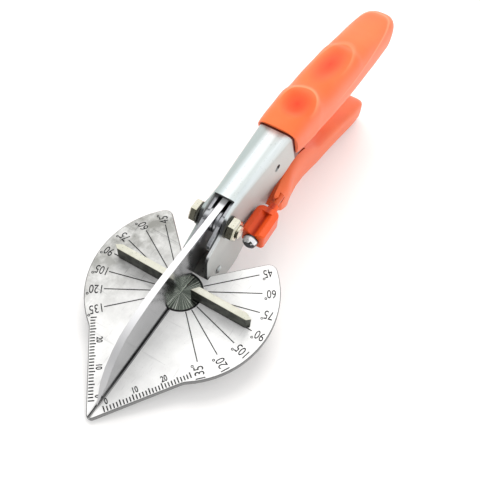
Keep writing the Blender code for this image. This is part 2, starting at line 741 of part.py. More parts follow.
def make_fence_screws(spindle):
    head_low = -PLATE_THICKNESS
    head_top = head_low + FENCE_SCREW_HEAD_DEPTH
    profile = ((0, head_low), (FENCE_SCREW_HEAD, head_low), (FENCE_SCREW_HEAD, head_top),
               (FENCE_SCREW_RADIUS, head_top), (FENCE_SCREW_RADIUS, FENCE_SCREW_GRIP),
               (0, FENCE_SCREW_GRIP))
    for side, sign in SIDES:
        screw = turned(profile, "Z", (-BAR_OFFSET, sign * FENCE_SCREW_OUT), SMALL_SIDES)
        piece("fence_screw_" + side, screw, "steel", spindle)


def make_turntable_clamp(spindle):
    """The screw that holds the turntable from below, and its washer."""
    washer_top = under_plate() - JAW_DEPTH - SEAT_GAP
    washer_low = washer_top - TURN_WASHER_THICKNESS
    washer = ring(TURN_SCREW_RADIUS + SEAT_GAP, TURN_WASHER_RADIUS, washer_low, washer_top, "Z")
    piece("turntable_washer", washer, "zinc", spindle)
    head_top = washer_low - SEAT_GAP
    head_low = head_top - TURN_SCREW_HEAD_DEPTH
    end = TURN_SCREW_GRIP - PLATE_THICKNESS
    profile = ((0, head_low), (TURN_SCREW_HEAD, head_low), (TURN_SCREW_HEAD, head_top),
               (TURN_SCREW_RADIUS, head_top), (TURN_SCREW_RADIUS, end), (0, end))
    piece("turntable_screw", turned(profile, "Z"), "steel", spindle)


# Upper channel and pivot

def upper_outline():
    """The upper channel from the side."""
    arm_top = under_plate()
    web, bend, end = web_path()
    low, step, knee, tang = cheek_under_path()
    corners = [
        (web, 0), (bend, 0), (end, 0), (tang, 0), (knee, 0), (step, CHEEK_CORNER),
        (low, CHEEK_CORNER), ((-CHEEK_LOW_FRONT, -CHEEK_LOW), CHEEK_CORNER),
        ((0, arm_top - ARM_DEPTH), 0), ((ARM_REACH - ARM_CORNER, arm_top - ARM_NOSE_DEPTH), ARM_CORNER),
        ((ARM_REACH, arm_top), 0), ((-LEG_FRONT, arm_top), 0), ((-LEG_FRONT, LEG_TOP), CHEEK_CORNER),
        ((-SHOULDER_BACK, SHOULDER_UP), CHEEK_CORNER),
        ((-PIVOT_BACK + CHEEK_RISE / 2, PIVOT_UP + CHEEK_OVER_PIVOT), CHEEK_RISE),
    ]
    return rounded([tuple(point) for point, _ in corners], [radius for _, radius in corners])


def upper_core(path):
    """What the upper channel holds open: all that is under its web and between its cheeks."""
    inner = shifted(path, SHEET)
    far = -CHEEK_LOW - OVERRUN
    high = WEB_TOP + OVERRUN
    slope = (inner[-1] - inner[-2]).normalized()
    beyond = inner[-1] + slope * OVERRUN
    front = ARM_REACH + OVERRUN
    web = [(-WEB_FRONT, high), (-WEB_FRONT, inner[0].y)] + [tuple(p) for p in inner[1:-1]]
    return [(front, high)] + web + [tuple(beyond), (beyond.x, far), (front, far)]


def bend_long_edges(bm, path, radius):
    """Round the two long edges that run along a path on an extruded outline's sides."""
    def on_path(vert):
        near = abs(height_on(path, vert.co.x) - vert.co.z) < MERGE_DISTANCE * 10
        inside = path[-1][0] - MERGE_DISTANCE < vert.co.x < path[0][0] + MERGE_DISTANCE
        return near and inside

    edges = []
    for edge in bm.edges:
        a, b = edge.verts
        if on_path(a) and on_path(b) and abs(a.co.x - b.co.x) > MERGE_DISTANCE:
            if a.co.y * b.co.y > 0:
                edges.append(edge)
    bmesh.ops.bevel(bm, geom=edges, offset=radius, segments=4, profile=0.5, affect="EDGES")
    return bm


def frame_core_half_width(x):
    return frame_half_width(x) - SHEET


def make_upper_channel(root):
    stations = (-FLARE_START, -FLARE_END)
    path = web_path()
    wide = FRONT_HALF_WIDTH
    body = spread(prism(upper_outline(), -wide, wide, "Y"), frame_half_width, stations)
    body = bend_long_edges(body, path, BEND_RADIUS)
    channel = piece("upper_channel", body, "chrome", root)
    core = spread(prism(upper_core(path), -wide, wide, "Y"), frame_core_half_width, stations)
    change(channel, "upper_channel_core", core)
    span = REAR_HALF_WIDTH + OVERRUN
    bores = [(BOLT_RADIUS, (-PIVOT_BACK, PIVOT_UP)), (CHEEK_HOLE_RADIUS, (-CHEEK_HOLE_BACK, CHEEK_HOLE_UP))]
    bores += [(JAW_RIVET_RADIUS, (x, jaw_rivet_height())) for x in JAW_RIVET_PLACES]
    for i, (radius, place) in enumerate(bores):
        bore = rod(radius + SEAT_GAP, -span, span, "Y", place, ROUND_SIDES)
        change(channel, "cheek_bore_%d" % i, bore)


def make_pivot(root):
    """Bolt, nut and the two washers that the cheeks are clamped between."""
    place = (-PIVOT_BACK, PIVOT_UP)
    washer_in = FRONT_HALF_WIDTH + SEAT_GAP
    washer_out = washer_in + WASHER_THICKNESS
    seat = washer_out + SEAT_GAP
    hole = BOLT_RADIUS + SEAT_GAP
    for side, sign in SIDES:
        levels = sorted((sign * washer_in, sign * washer_out))
        piece("pivot_washer_" + side, ring(hole, WASHER_RADIUS, *levels, "Y", place), "zinc", root)

    nut_end = seat + NUT_THICKNESS
    nut = piece("pivot_nut", hexagon(HEX_ACROSS_FLATS, seat, nut_end, "Y", place, nut_end), "zinc", root)
    change(nut, "nut_bore", rod(hole, seat - OVERRUN, nut_end + OVERRUN, "Y", place))

    head_end = -seat - HEAD_THICKNESS
    head = hexagon(HEX_ACROSS_FLATS, head_end, -seat, "Y", place, head_end)
    bolt = piece("pivot_bolt", head, "zinc", root)
    shank = rod(BOLT_RADIUS, -seat - HEAD_THICKNESS / 2, nut_end + BOLT_PROUD, "Y", place)
    change(bolt, "bolt_shank", shank, "UNION")


# Blade and lower channel

def bush_radius():
    return BOLT_RADIUS + RUN_GAP + BUSH_WALL


def make_blade(pivot):
    """The blade, ground from both sides to its edge, with a tang inside the lower channel."""
    rise = BLADE_BACK_TOP - EDGE_CLEARANCE
    nose = [(blade_tip() * x_share, EDGE_CLEARANCE + rise * z_share) for x_share, z_share in NOSE_SHARES]
    pivot_low = PIVOT_UP - BLADE_DEPTH_AT_PIVOT
    tang_top = CARRIER_TOP - SHEET / 2
    outline = nose + [
        (HEEL, EDGE_CLEARANCE),
        (HEEL - PIVOT_BACK / 3, EDGE_CLEARANCE + pivot_low / 4),
        (-PIVOT_BACK, pivot_low),
        (-CARRIER_WEB_FRONT - BLADE_DEPTH_AT_PIVOT / 2, BLADE_RIVET_UP - BLADE_DEPTH_AT_PIVOT / 2),
        (-TANG_BACK, BLADE_RIVET_UP - BLADE_DEPTH_AT_PIVOT / 2),
        (-TANG_BACK, BLADE_RIVET_UP),
        (-BLADE_RIVET_BACK, tang_top),
        (-CARRIER_WEB_FRONT, tang_top),
    ]
    side = BLADE_THICKNESS / 2
    blade = piece("blade", prism(outline, -side, side, "Y"), "blade", pivot)
    reach = blade_tip() + OVERRUN
    bottom = EDGE_CLEARANCE - OVERRUN
    lean = (side - EDGE_FLAT / 2) / BEVEL_HEIGHT
    for i, sign in enumerate((1, -1)):
        wedge = (
            (sign * (EDGE_FLAT / 2 - lean * OVERRUN), bottom),
            (sign * (side + lean * OVERRUN), EDGE_CLEARANCE + BEVEL_HEIGHT + OVERRUN),
            (sign * (side + OVERRUN), EDGE_CLEARANCE + BEVEL_HEIGHT + OVERRUN),
            (sign * (side + OVERRUN), bottom),
        )
        change(blade, "bevel_%d" % i, prism(wedge, -PIVOT_BACK + bush_radius(), reach, "X"))
    wide = side + OVERRUN
    hole = rod(bush_radius() + SEAT_GAP, -wide, wide, "Y", (-PIVOT_BACK, PIVOT_UP))
    change(blade, "blade_bush_bore", hole)
    rivet = rod(BLADE_RIVET_RADIUS + SEAT_GAP, -wide, wide, "Y", (-BLADE_RIVET_BACK, BLADE_RIVET_UP),
                SMALL_SIDES)
    change(blade, "blade_rivet_bore", rivet)


def carrier_top_path():
    """The lower channel's upper edge, from over the pivot to the end of its tail."""
    end = carrier_under_path()[-1]
    rise = Vector((0, TAIL_HEIGHT))
    tail = Vector((-TAIL_BACK, -TAIL_DOWN)) + rise
    return [
        Vector((-CARRIER_WEB_FRONT, CARRIER_TOP)),
        Vector((-CARRIER_KNEE_BACK, CARRIER_TOP)),
        Vector((-SPRING_BACK, CARRIER_TOP / 2)),
        tail,
        end + rise,
    ]


def carrier_outline():
    under = carrier_under_path()
    top = carrier_top_path()
    front = CARRIER_FRONT - PIVOT_BACK
    nose = [
        (Vector((-PIVOT_BACK, PIVOT_UP - BLADE_DEPTH_AT_PIVOT - BOLT_RADIUS)), CARRIER_CORNER),
        (Vector((front, PIVOT_UP - CARRIER_CORNER)), SHEET),
        (Vector((front, PIVOT_UP - SHEET)), SHEET),
        (Vector((-PIVOT_BACK, PIVOT_UP + CHEEK_OVER_PIVOT - SHEET)), CARRIER_CORNER),
    ]
    corners = [(point, CARRIER_CORNER if 0 < i < len(under) - 1 else 0) for i, point in enumerate(under)]
    corners = corners[::-1] + nose
    corners += [(point, CARRIER_CORNER if 0 < i < len(top) - 1 else 0) for i, point in enumerate(top)]
    return rounded([tuple(point) for point, _ in corners], [radius for _, radius in corners])


def carrier_core_half_width(x):
    return carrier_half_width(x) - SHEET


def make_lower_channel(pivot):
    stations = (-CARRIER_FLARE_START, -FLARE_END - SHEET)
    side = FRONT_HALF_WIDTH
    body = spread(prism(carrier_outline(), -side, side, "Y"), carrier_half_width, stations)
    channel = piece("lower_channel", body, "steel", pivot)
    inner = shifted(carrier_under_path(), -SHEET)
    beyond = inner[-1] + (inner[-1] - inner[-2]).normalized() * OVERRUN
    high = CARRIER_TOP + OVERRUN
    low = inner[0].y - CARRIER_CORNER - SHEET
    core = [(ARM_REACH, high), (beyond.x, high), tuple(beyond)] + [tuple(p) for p in reversed(inner[1:-1])]
    core += [tuple(inner[0]), (-CARRIER_WEB_FRONT, low), (ARM_REACH, low)]
    core = spread(prism(core, -side, side, "Y"), carrier_core_half_width, stations)
    change(channel, "lower_channel_core", core)
    wide = FRONT_HALF_WIDTH + OVERRUN
    bores = ((bush_radius() + SEAT_GAP, (-PIVOT_BACK, PIVOT_UP)),
             (BLADE_RIVET_RADIUS + SEAT_GAP, (-BLADE_RIVET_BACK, BLADE_RIVET_UP)))
    for i, (radius, place) in enumerate(bores):
        change(channel, "carrier_bore_%d" % i, rod(radius, -wide, wide, "Y", place, ROUND_SIDES))


def make_blade_fixings(pivot):
    """The bush on the bolt, the spacers beside the blade and the rivet through its tang."""
    place = (-PIVOT_BACK, PIVOT_UP)
    outer = bush_radius()
    length = FRONT_HALF_WIDTH - SHEET - RUN_GAP
    bush = ring(BOLT_RADIUS + RUN_GAP, outer, -length, length, "Y", place)
    piece("pivot_bush", bush, "steel", pivot)

    near = BLADE_THICKNESS / 2 + SEAT_GAP
    rivet_place = (-BLADE_RIVET_BACK, BLADE_RIVET_UP)
    spots = (("pivot_spacer_", outer + SEAT_GAP, place),
             ("tang_spacer_", BLADE_RIVET_RADIUS + SEAT_GAP, rivet_place))
    for name, inner, middle in spots:
        far = carrier_core_half_width(middle[0]) - SEAT_GAP
        for side, sign in SIDES:
            levels = sorted((sign * near, sign * far))
            spacer = ring(inner, inner + SPACER_LIP, *levels, "Y", middle)
            piece(name + side, spacer, "steel", pivot)

    end = carrier_half_width(rivet_place[0]) + BLADE_RIVET_HEAD_DEPTH
    rivet = rod(BLADE_RIVET_RADIUS, -end, end, "Y", rivet_place, SMALL_SIDES)
    piece("blade_rivet", rivet, "steel", pivot)


# Spring and its pegs

def spring_ends():
    """The levels between which the spring stands."""
    top = WEB_TOP - SHEET - SEAT_GAP - PEG_FLANGE - SEAT_GAP
    web = height_on(carrier_under_path(), -SPRING_BACK) + SHEET
    return web + PEG_FOOT + SEAT_GAP, top


def make_spring_pegs(root, pivot):
    low, high = spring_ends()
    place = (-SPRING_BACK, 0)
    seat = high + SEAT_GAP
    end = high - PEG_LENGTH
    profile = ((0, end), (PEG_RADIUS, end), (PEG_RADIUS, seat), (PEG_FLANGE_RADIUS, seat),
               (PEG_FLANGE_RADIUS, seat + PEG_FLANGE), (0, seat + PEG_FLANGE))
    piece("upper_spring_peg", turned(profile, "Z", place, SMALL_SIDES), "steel", root)

    seat = low - SEAT_GAP
    foot = seat - 2 * PEG_FOOT
    end = low + PEG_LENGTH
    profile = ((0, foot), (PEG_FLANGE_RADIUS, foot), (PEG_FLANGE_RADIUS, seat), (PEG_RADIUS, seat),
               (PEG_RADIUS, end), (0, end))
    peg = piece("lower_spring_peg", turned(profile, "Z", place, SMALL_SIDES), "steel", pivot)
    web = shifted(carrier_under_path(), -SHEET - SEAT_GAP)
    deep = -TAIL_DOWN - PEG_FOOT
    below = [tuple(p) for p in web] + [(web[-1].x, min(deep, web[-1].y) - OVERRUN), (web[0].x, deep - OVERRUN)]
    change(peg, "peg_foot_slope", prism(below, -LOWER_HALF_WIDTH, LOWER_HALF_WIDTH, "Y"))


def spring_points():
    """Points along the coil, which is closer wound at its ends."""
    low, high = spring_ends()
    low, high = low + WIRE_RADIUS, high - WIRE_RADIUS
    count = SPRING_TURNS * POINTS_PER_TURN
    points = []
    for i in range(count + 1):
        share = i / count
        rise = share - SPRING_END_SHARE * math.sin(math.tau * share) / math.tau
        angle = math.tau * SPRING_TURNS * share
        points.append(Vector((SPRING_RADIUS * math.cos(angle) - SPRING_BACK,
                              SPRING_RADIUS * math.sin(angle), low + (high - low) * rise)))
    return points


def least_gap(points):
    """The least distance between turns of the coil's surface."""
    apart = POINTS_PER_TURN * 3 // 4
    pairs = ((a, b) for i, a in enumerate(points) for b in points[i + apart:])
    return min((a - b).length for a, b in pairs) - 2 * WIRE_RADIUS


def make_return_spring(pivot):
    points = spring_points()
    print("least gap between the spring's turns, mm:", round(least_gap(points) * 1000, 2))
    curve = bpy.data.curves.new("return_spring", "CURVE")
    curve.dimensions = "3D"
    curve.bevel_depth = WIRE_RADIUS
    curve.bevel_resolution = 1
    curve.use_fill_caps = True
    spline = curve.splines.new("POLY")
    spline.points.add(len(points) - 1)
    for target, point in zip(spline.points, points):
        target.co = (*point, 1)
    spring = bpy.data.objects.new("return_spring", curve)
    bpy.context.scene.collection.objects.link(spring)
    spring.parent = pivot
    spring.location = -place_of(pivot)
    own = material("steel").copy()
    own.name = "return_spring"
    curve.materials.append(own)


# Grips

def section(x, middle, half_width, above, below, squareness, push):
    """One ring of a grip: a squared oval whose points are pushed along X by a function."""
    points = []
    for i in range(GRIP_SIDES):
        angle = math.tau * i / GRIP_SIDES
        across = math.copysign(abs(math.cos(angle)) ** (2 / squareness), math.cos(angle))
        up = math.copysign(abs(math.sin(angle)) ** (2 / squareness), math.sin(angle))
        z = middle + up * (above if up > 0 else below)
        points.append(Vector((x + push(across, up), half_width * across, z)))
    return points


def make_upper_grip(root):
    """A sleeve on the tang with a slanted mouth and two thumb scoops ending in arched rims."""
    length = GRIP_END - GRIP_START
    rings = []
    for share, wide, above, below, arch in GRIP_SHARES:
        x = -GRIP_START - length * share
        slant = MOUTH_SLANT / 2 * max(0, 1 - share * length / GRIP_HALF_WIDTH / 2)

        def push(across, up, arch=arch, slant=slant):
            forward = SCOOP_ARCH * arch * across ** 2 if up > 0 else SCOOP_ARCH * arch
            return forward + slant * up - MOUTH_SLANT / 2 * (slant > 0) * slant / MOUTH_SLANT

        rings.append(section(x, grip_middle(x), GRIP_HALF_WIDTH * wide, GRIP_HALF_HEIGHT * above,
                             GRIP_HALF_HEIGHT * below, GRIP_SQUARENESS, push))
    grip = piece("upper_grip", loft(rings), "orange", root)
    top = shifted(web_path(), -SEAT_GAP)
    under = shifted(cheek_under_path(), SEAT_GAP)
    back = top[-1].x - SEAT_GAP
    front = -GRIP_START + MOUTH_SLANT
    socket = [(front, top[0].y), tuple(top[1]), (back, height_on(top[1:], back)),
              (back, height_on(under[2:], back)), tuple(under[2]), (front, height_on(under, front))]

    def half_width(x):
        return frame_half_width(x) + SEAT_GAP

    cutter = spread(prism(socket, -GRIP_HALF_WIDTH, GRIP_HALF_WIDTH, "Y"), half_width, (-FLARE_END,))
    change(grip, "upper_socket", bend_long_edges(cutter, socket[:3], BEND_RADIUS))


def make_lower_grip(pivot):
    """A sleeve on the lower channel's tail that opens forward into a guarded trough."""
    start = lower_grip_start()
    rings = []
    for share, wide, above, below in LOWER_SHARES:
        x = -start - (LOWER_END - start) * share
        ring_points = section(x, lower_grip_middle(x), LOWER_HALF_WIDTH * wide, LOWER_HALF_HEIGHT * above,
                              LOWER_HALF_HEIGHT * below, LOWER_SQUARENESS, lambda across, up: 0)
        for point in ring_points:
            point.z = max(point.z, rest_height(point.x))
        rings.append(ring_points)
    grip = piece("lower_grip", loft(rings), "orange", pivot)

    bore = rod(ROD_RADIUS + SEAT_GAP, -start - ROD_GRIP - SEAT_GAP, OVERRUN - start, "X",
               (LATCH_OUT, LATCH_UP), SMALL_SIDES)
    change(grip, "latch_rod_bore", bore)

    front = OVERRUN - start
    high = CARRIER_TOP
    under = shifted(carrier_under_path(), SEAT_GAP)
    top = shifted(carrier_top_path(), -SEAT_GAP)
    back = under[-1].x - SEAT_GAP
    trough = [(front, high), (-TROUGH_BACK, high), (-TROUGH_BACK, height_on(top, -TROUGH_BACK)),
              (back, height_on(top[-2:], back)), (back, height_on(under[-2:], back))]
    trough += [tuple(p) for p in reversed(under[:-1]) if p.x < front] + [(front, height_on(under, front))]

    def half_width(x):
        return carrier_half_width(x) + SEAT_GAP

    stations = (-FLARE_END - SHEET,)
    cutter = spread(prism(trough, -LOWER_HALF_WIDTH, LOWER_HALF_WIDTH, "Y"), half_width, stations)
    change(grip, "lower_socket", cutter)

    under = shifted(cheek_under_path(), CHEEK_CLEARANCE)
    room = [(front, high), (-TROUGH_BACK, high), (-TROUGH_BACK, height_on(under, -TROUGH_BACK))]
    room += [tuple(p) for p in reversed(under) if -TROUGH_BACK < p.x < front]
    room += [(front, height_on(under, front))]

    flare_end = -start - MOUTH_FLARE_LENGTH

    def room_half_width(x):
        flare = MOUTH_FLARE * max(0, (x - flare_end) / MOUTH_FLARE_LENGTH)
        return frame_half_width(x) + CHEEK_CLEARANCE + flare

    stations = (-FLARE_END, flare_end)
    cutter = spread(prism(room, -LOWER_HALF_WIDTH, LOWER_HALF_WIDTH, "Y"), room_half_width, stations)
    change(grip, "cheek_room", cutter)


# Latch

def lower_grip_start():
    """How far back the lower grip starts, which leaves the latch room for its travel."""
    return KNOB_BACK + NECK_LENGTH + LATCH_TRAVEL + SEAT_GAP


def make_latch(pivot, slide):
    place = (LATCH_OUT, LATCH_UP)
    knob_front = -KNOB_BACK + KNOB_LENGTH
    shank_back = -lower_grip_start() - ROD_GRIP
    cap_low = knob_front + SEAT_GAP
    shank = rod(ROD_RADIUS, shank_back, cap_low + CAP_LENGTH / 3, "X", place, SMALL_SIDES)
    screw = piece("latch_screw", domed(CAP_RADIUS, cap_low, cap_low + CAP_LENGTH, "X", place), "chrome", pivot)
    change(screw, "latch_shank", shank, "UNION")

    low, high = LATCH_UP - KNOB_HEIGHT / 2, LATCH_UP + KNOB_HEIGHT / 2
    inner, outer = LATCH_OUT - KNOB_WIDTH / 2, LATCH_OUT + KNOB_WIDTH / 2
    plan = [(-KNOB_BACK, inner), (knob_front, inner), (knob_front, outer), (-KNOB_BACK, outer)]
    plan = rounded(plan, [KNOB_CORNER, KNOB_CORNER / 2, KNOB_CORNER / 2, KNOB_CORNER])
    knob = piece("latch_knob", bevelled_ends(prism(plan, low, high, "Z"), "Z", BAR_CHAMFER / 2),
                 "deep_orange", slide)
    neck = rod(NECK_RADIUS, -KNOB_BACK - NECK_LENGTH, -KNOB_BACK + KNOB_CORNER, "X", place, SMALL_SIDES)
    change(knob, "knob_neck", neck, "UNION")
    ridge = KNOB_WIDTH / 2
    valley = ((LATCH_OUT, high - KNOB_VALLEY), (LATCH_OUT + ridge, high + OVERRUN),
              (LATCH_OUT - ridge, high + OVERRUN))
    change(knob, "knob_valley", prism(valley, -KNOB_BACK + KNOB_CORNER, knob_front + OVERRUN, "X"))
    bore = rod(ROD_RADIUS + RUN_GAP, -KNOB_BACK - NECK_LENGTH - OVERRUN, knob_front + OVERRUN, "X", place,
               SMALL_SIDES)
    change(knob, "knob_bore", bore)


# The whole tool

def rest_on_bench(root):
    """Move the tilted tool until it stands on the world's floor, with its box's middle at the origin."""
    bpy.context.view_layer.update()
    graph = bpy.context.evaluated_depsgraph_get()
    lows, highs = Vector((math.inf,) * 3), Vector((-math.inf,) * 3)
    for shown in bpy.data.objects:
        if shown.type not in {"MESH", "CURVE"} or shown.hide_render:
            continue
        solid = shown.evaluated_get(graph)
        mesh = solid.to_mesh()
        for vert in mesh.vertices:
            place = solid.matrix_world @ vert.co
            lows = Vector(map(min, lows, place))
            highs = Vector(map(max, highs, place))
        solid.to_mesh_clear()
    root.location = -Vector(((lows.x + highs.x) / 2, (lows.y + highs.y) / 2, lows.z))
    bpy.context.view_layer.update()


def build():
    for old in list(bpy.data.objects):
        bpy.data.objects.remove(old)
    root = carrier_empty("mitre_shears", (0, 0, 0), None)
    root.rotation_euler = (0, REST_TILT, 0)
    spindle = carrier_empty("turntable_axis", (0, 0, 0), root)
    pivot = carrier_empty("handle_pivot", (-PIVOT_BACK, 0, PIVOT_UP), root)
    slide = carrier_empty("latch_slide", (-KNOB_BACK, LATCH_OUT, LATCH_UP), pivot)

    make_angle_plate(root)
    make_jaw_block(root)
    make_jaw_rivets(root)
    make_plate_screws(root)
    make_turntable(spindle)
    for side, sign in SIDES:
        make_fence_bar(side, sign, spindle)
    make_fence_screws(spindle)
    make_turntable_clamp(spindle)
    make_upper_channel(root)
    make_pivot(root)
    make_blade(pivot)
    make_lower_channel(pivot)
    make_blade_fixings(pivot)
    make_spring_pegs(root, pivot)
    make_return_spring(pivot)
    make_upper_grip(root)
    make_lower_grip(pivot)
    make_latch(pivot, slide)
    rest_on_bench(root)


build()
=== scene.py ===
import json
import math

import bmesh
import bpy
from mathutils import Matrix, Vector

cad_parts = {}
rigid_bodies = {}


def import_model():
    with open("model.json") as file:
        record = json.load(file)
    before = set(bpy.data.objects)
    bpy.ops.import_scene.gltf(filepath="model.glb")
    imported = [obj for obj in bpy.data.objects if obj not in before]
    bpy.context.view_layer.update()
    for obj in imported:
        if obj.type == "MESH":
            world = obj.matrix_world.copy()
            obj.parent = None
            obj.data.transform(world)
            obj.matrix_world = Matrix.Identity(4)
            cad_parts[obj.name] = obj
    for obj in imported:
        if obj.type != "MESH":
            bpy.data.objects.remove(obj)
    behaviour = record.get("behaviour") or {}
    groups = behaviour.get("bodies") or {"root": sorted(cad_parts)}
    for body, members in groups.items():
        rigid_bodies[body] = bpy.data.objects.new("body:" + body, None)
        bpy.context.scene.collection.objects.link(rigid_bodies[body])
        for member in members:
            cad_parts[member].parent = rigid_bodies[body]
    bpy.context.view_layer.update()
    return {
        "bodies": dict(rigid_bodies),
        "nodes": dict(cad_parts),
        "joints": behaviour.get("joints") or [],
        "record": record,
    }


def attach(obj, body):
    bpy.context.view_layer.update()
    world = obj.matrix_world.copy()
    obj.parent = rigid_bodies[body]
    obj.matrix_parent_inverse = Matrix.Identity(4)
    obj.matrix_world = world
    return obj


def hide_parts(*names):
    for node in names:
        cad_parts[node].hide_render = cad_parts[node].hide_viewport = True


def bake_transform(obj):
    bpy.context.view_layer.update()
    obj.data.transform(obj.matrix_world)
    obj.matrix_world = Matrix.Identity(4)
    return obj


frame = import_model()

# The plate's own frame: x to the tip, y to the right, z up, from the middle of the turntable
SWIVEL = next(joint for joint in frame["joints"] if joint["name"] == "turntable_swivel")
ORIGIN = Vector(SWIVEL["pos_m"])
UP = Vector(SWIVEL["axis"]).normalized()
AHEAD = Vector((UP.z, 0, -UP.x))
TILT = math.atan2(UP.x, UP.z)
PLATE = Matrix((
    (AHEAD.x, 0, UP.x, ORIGIN.x),
    (AHEAD.y, 1, UP.y, ORIGIN.y),
    (AHEAD.z, 0, UP.z, ORIGIN.z),
    (0, 0, 0, 1),
))

# Camera: the photograph's own viewpoint
CAMERA_PLACE = PLATE @ Vector((0.081968, 0.061517, 0.195812))
CAMERA_TURN = (43.733, -9.427, 119.184)
CAMERA_LENS = 44.906
CAMERA_SENSOR = 36.0

# Marks on the plate
MARK_ANGLES = (45, 60, 75, 90, 105, 120, 135)
MARK_START = 0.0086
MARK_END = 0.0299
MARK_END_WIDE = 0.0279          # where the number has three digits
MARK_WIDTH = 0.00036
MARK_LOW = -0.00001
MARK_HIGH = 0.00006
NUMBER_SIZE = 0.0049
NUMBER_NARROW = 0.74
NUMBER_GAP = 0.0007
RING_OUT = 0.00050
RING_IN = 0.00024
RING_SHIFT = (1.2, 0.3)         # from the number's corner to the ring's middle, in ring radii
RING_SIDES = 16

# Rulers along the plate's straight edges
EDGE_ANGLE = math.radians(36.2)
FIRST_TICK = (0.04977, 0.0034)
TICKS_PER_NUMBER = 9
TICK_STEP = 0.010 / TICKS_PER_NUMBER
TICK_COUNT = 28
TICK_LENGTH = 0.0017
LONG_TICK = 0.0021
LONG_TICKS = (0, 5)             # after each number
TICK_WIDTH = 0.00042
RULER_NUMBERS = ("0", "10", "20")
RULER_SIZE = 0.0030
RULER_BOLD = 0.020
RULER_INSET = 0.0032
RULER_SHIFT = 0.0014

# Painted shade lines of the plate and the turntable: half width of the slot, radius of the round gap
SLOT_HALF = 0.00053
DISC_RADIUS = 0.0080
GAP_HALF = 0.00036

# Latch: its middle, the height above which its valley lies, its screw's foot and what lies behind the knob
LATCH_OUT = 0.0114
LATCH_HIGH = 0.0042
SCREW_FOOT = -0.0306
KNOB_BEHIND = -0.045

# Upper channel: half its width, and behind which its cheeks' inside is painted in shade
CHANNEL_HALF = 0.0072
INSIDE_FROM = -0.042

# Fence bar in plan: x and how far out
BAR_PLAN = ((0.00058, 0.0047), (0.00058, 0.0273), (-0.00072, 0.0288), (-0.00202, 0.0263), (-0.00202, 0.0068))
BAR_LOW = 0.0003
BAR_HIGH = 0.0070
BAR_BEVEL = 0.00012

# Upper grip, in the plate's frame
GRIP_START = 0.0690
GRIP_LENGTH = 0.1258
GRIP_HALF_WIDTH = 0.0108
GRIP_HALF_HEIGHT = 0.0135
GRIP_SQUARENESS = 2.9
GRIP_SLOPE = math.tan(math.radians(11.1))
GRIP_BEND = (-0.072, 0.0243)
GRIP_DROP = 0.0073
MOUTH_SLANT = 0.0040
MOUTH_LINE = (-0.0710, 0.0176, 0.40)    # the mouth's line over the channel: x at a height z, and its slope
MOUTH_GAP = 0.0011                      # how far ahead of that line the painted shade of the gap reaches
GRIP_SIDES = 96
GRIP_RINGS = 120
TAPER_START = 0.84                      # share of the length where the rounded rear end starts
END_RINGS = 24
LAST_SHARE = 0.9996
# share of the length, then of the half width, and of the half height above and below
GRIP_PROFILE = (
    (0.000, 0.82, 0.66, 0.86), (0.012, 0.84, 0.70, 0.92), (0.054, 0.87, 0.79, 0.99), (0.086, 0.88, 0.84, 1.00),
    (0.132, 0.90, 0.92, 1.00), (0.162, 0.91, 0.96, 1.00), (0.196, 0.90, 0.895, 1.00), (0.230, 0.905, 0.87, 1.00),
    (0.300, 0.94, 0.91, 0.985), (0.397, 0.96, 0.93, 0.98), (0.459, 0.97, 0.945, 0.97), (0.500, 0.97, 0.96, 0.97),
    (0.540, 0.965, 0.90, 0.96), (0.599, 0.96, 0.885, 0.93), (0.646, 0.95, 0.865, 0.90), (0.708, 0.95, 0.835, 0.85),
    (0.770, 0.94, 0.82, 0.78), (0.840, 0.92, 0.80, 0.70),
)
# Thumb scoops: middle x, middle y, half length, half width, depth, height of the rim behind
SCOOPS = ((-0.0835, 0.0010, 0.0105, 0.0072, 0.0016, 0.00035), (-0.1180, 0.0, 0.0200, 0.0070, 0.0009, 0.00018))
SCOOP_FLOOR = 0.35                      # share of a scoop's reach that is its floor
RIM_REACH = 1.07                        # where the rim's crest lies, in reaches
RIM_WIDTH = 0.09
SIDE_LINE = (-0.108, 0.0105, 0.0698)    # a point of the side's moulded line, x and z, and its slope
RIDGE_HALF = 0.0009
RIDGE_HEIGHT = 0.00018
RIDGE_FADE = 0.015
# Socket of the upper grip: x, top and underside of the channel there
SOCKET = ((-0.058, 0.0246, 0.0020), (-0.072, 0.0246, 0.0036), (-0.1429, 0.0107, -0.0005))
SOCKET_HALF = 0.0076
SOCKET_CORNER = 0.0029
CORNER_STEPS = 8

# Return spring, in the plate's frame
SPRING_BACK = -0.0575
SPRING_LOW = -0.00972
SPRING_HIGH = 0.0217
SPRING_RADIUS = 0.0027
WIRE_RADIUS = 0.0005
SPRING_TURNS = 9
TURN_POINTS = 24
CLOSE_ENDS = 0.5                # how much closer than the middle turns the end turns lie

# Creases: faces that turn by more than this, in degrees, meet at a sharp line
CREASE = 32.0
ROUND_CREASE = 50.0

# Studio: the floor, the dark side of the room that shows in gloss, and the lamp
FLOOR_REACH = 4.0
FLOOR_TONE = (0.95, 0.94, 0.93)
FLOOR_GLOW = 0.3
FLOOR_FADE = (0.22, 0.7, 0.75)  # x where it starts and ends, and how far it goes
FLOOR_DARK = (0.05, 0.05, 0.05)
ROOM_SIDE = Vector((0.95, -0.10, 0.22)).normalized()
ROOM_EDGE = (0.55, 0.92)
ROOM_DARK = (0.12, 0.12, 0.125)
KEY_PLACE = (-0.48, -0.30, 1.06)
KEY_SIZE = 0.8
KEY_POWER = 8.6
KEY_TONE = (1.0, 0.985, 0.96)

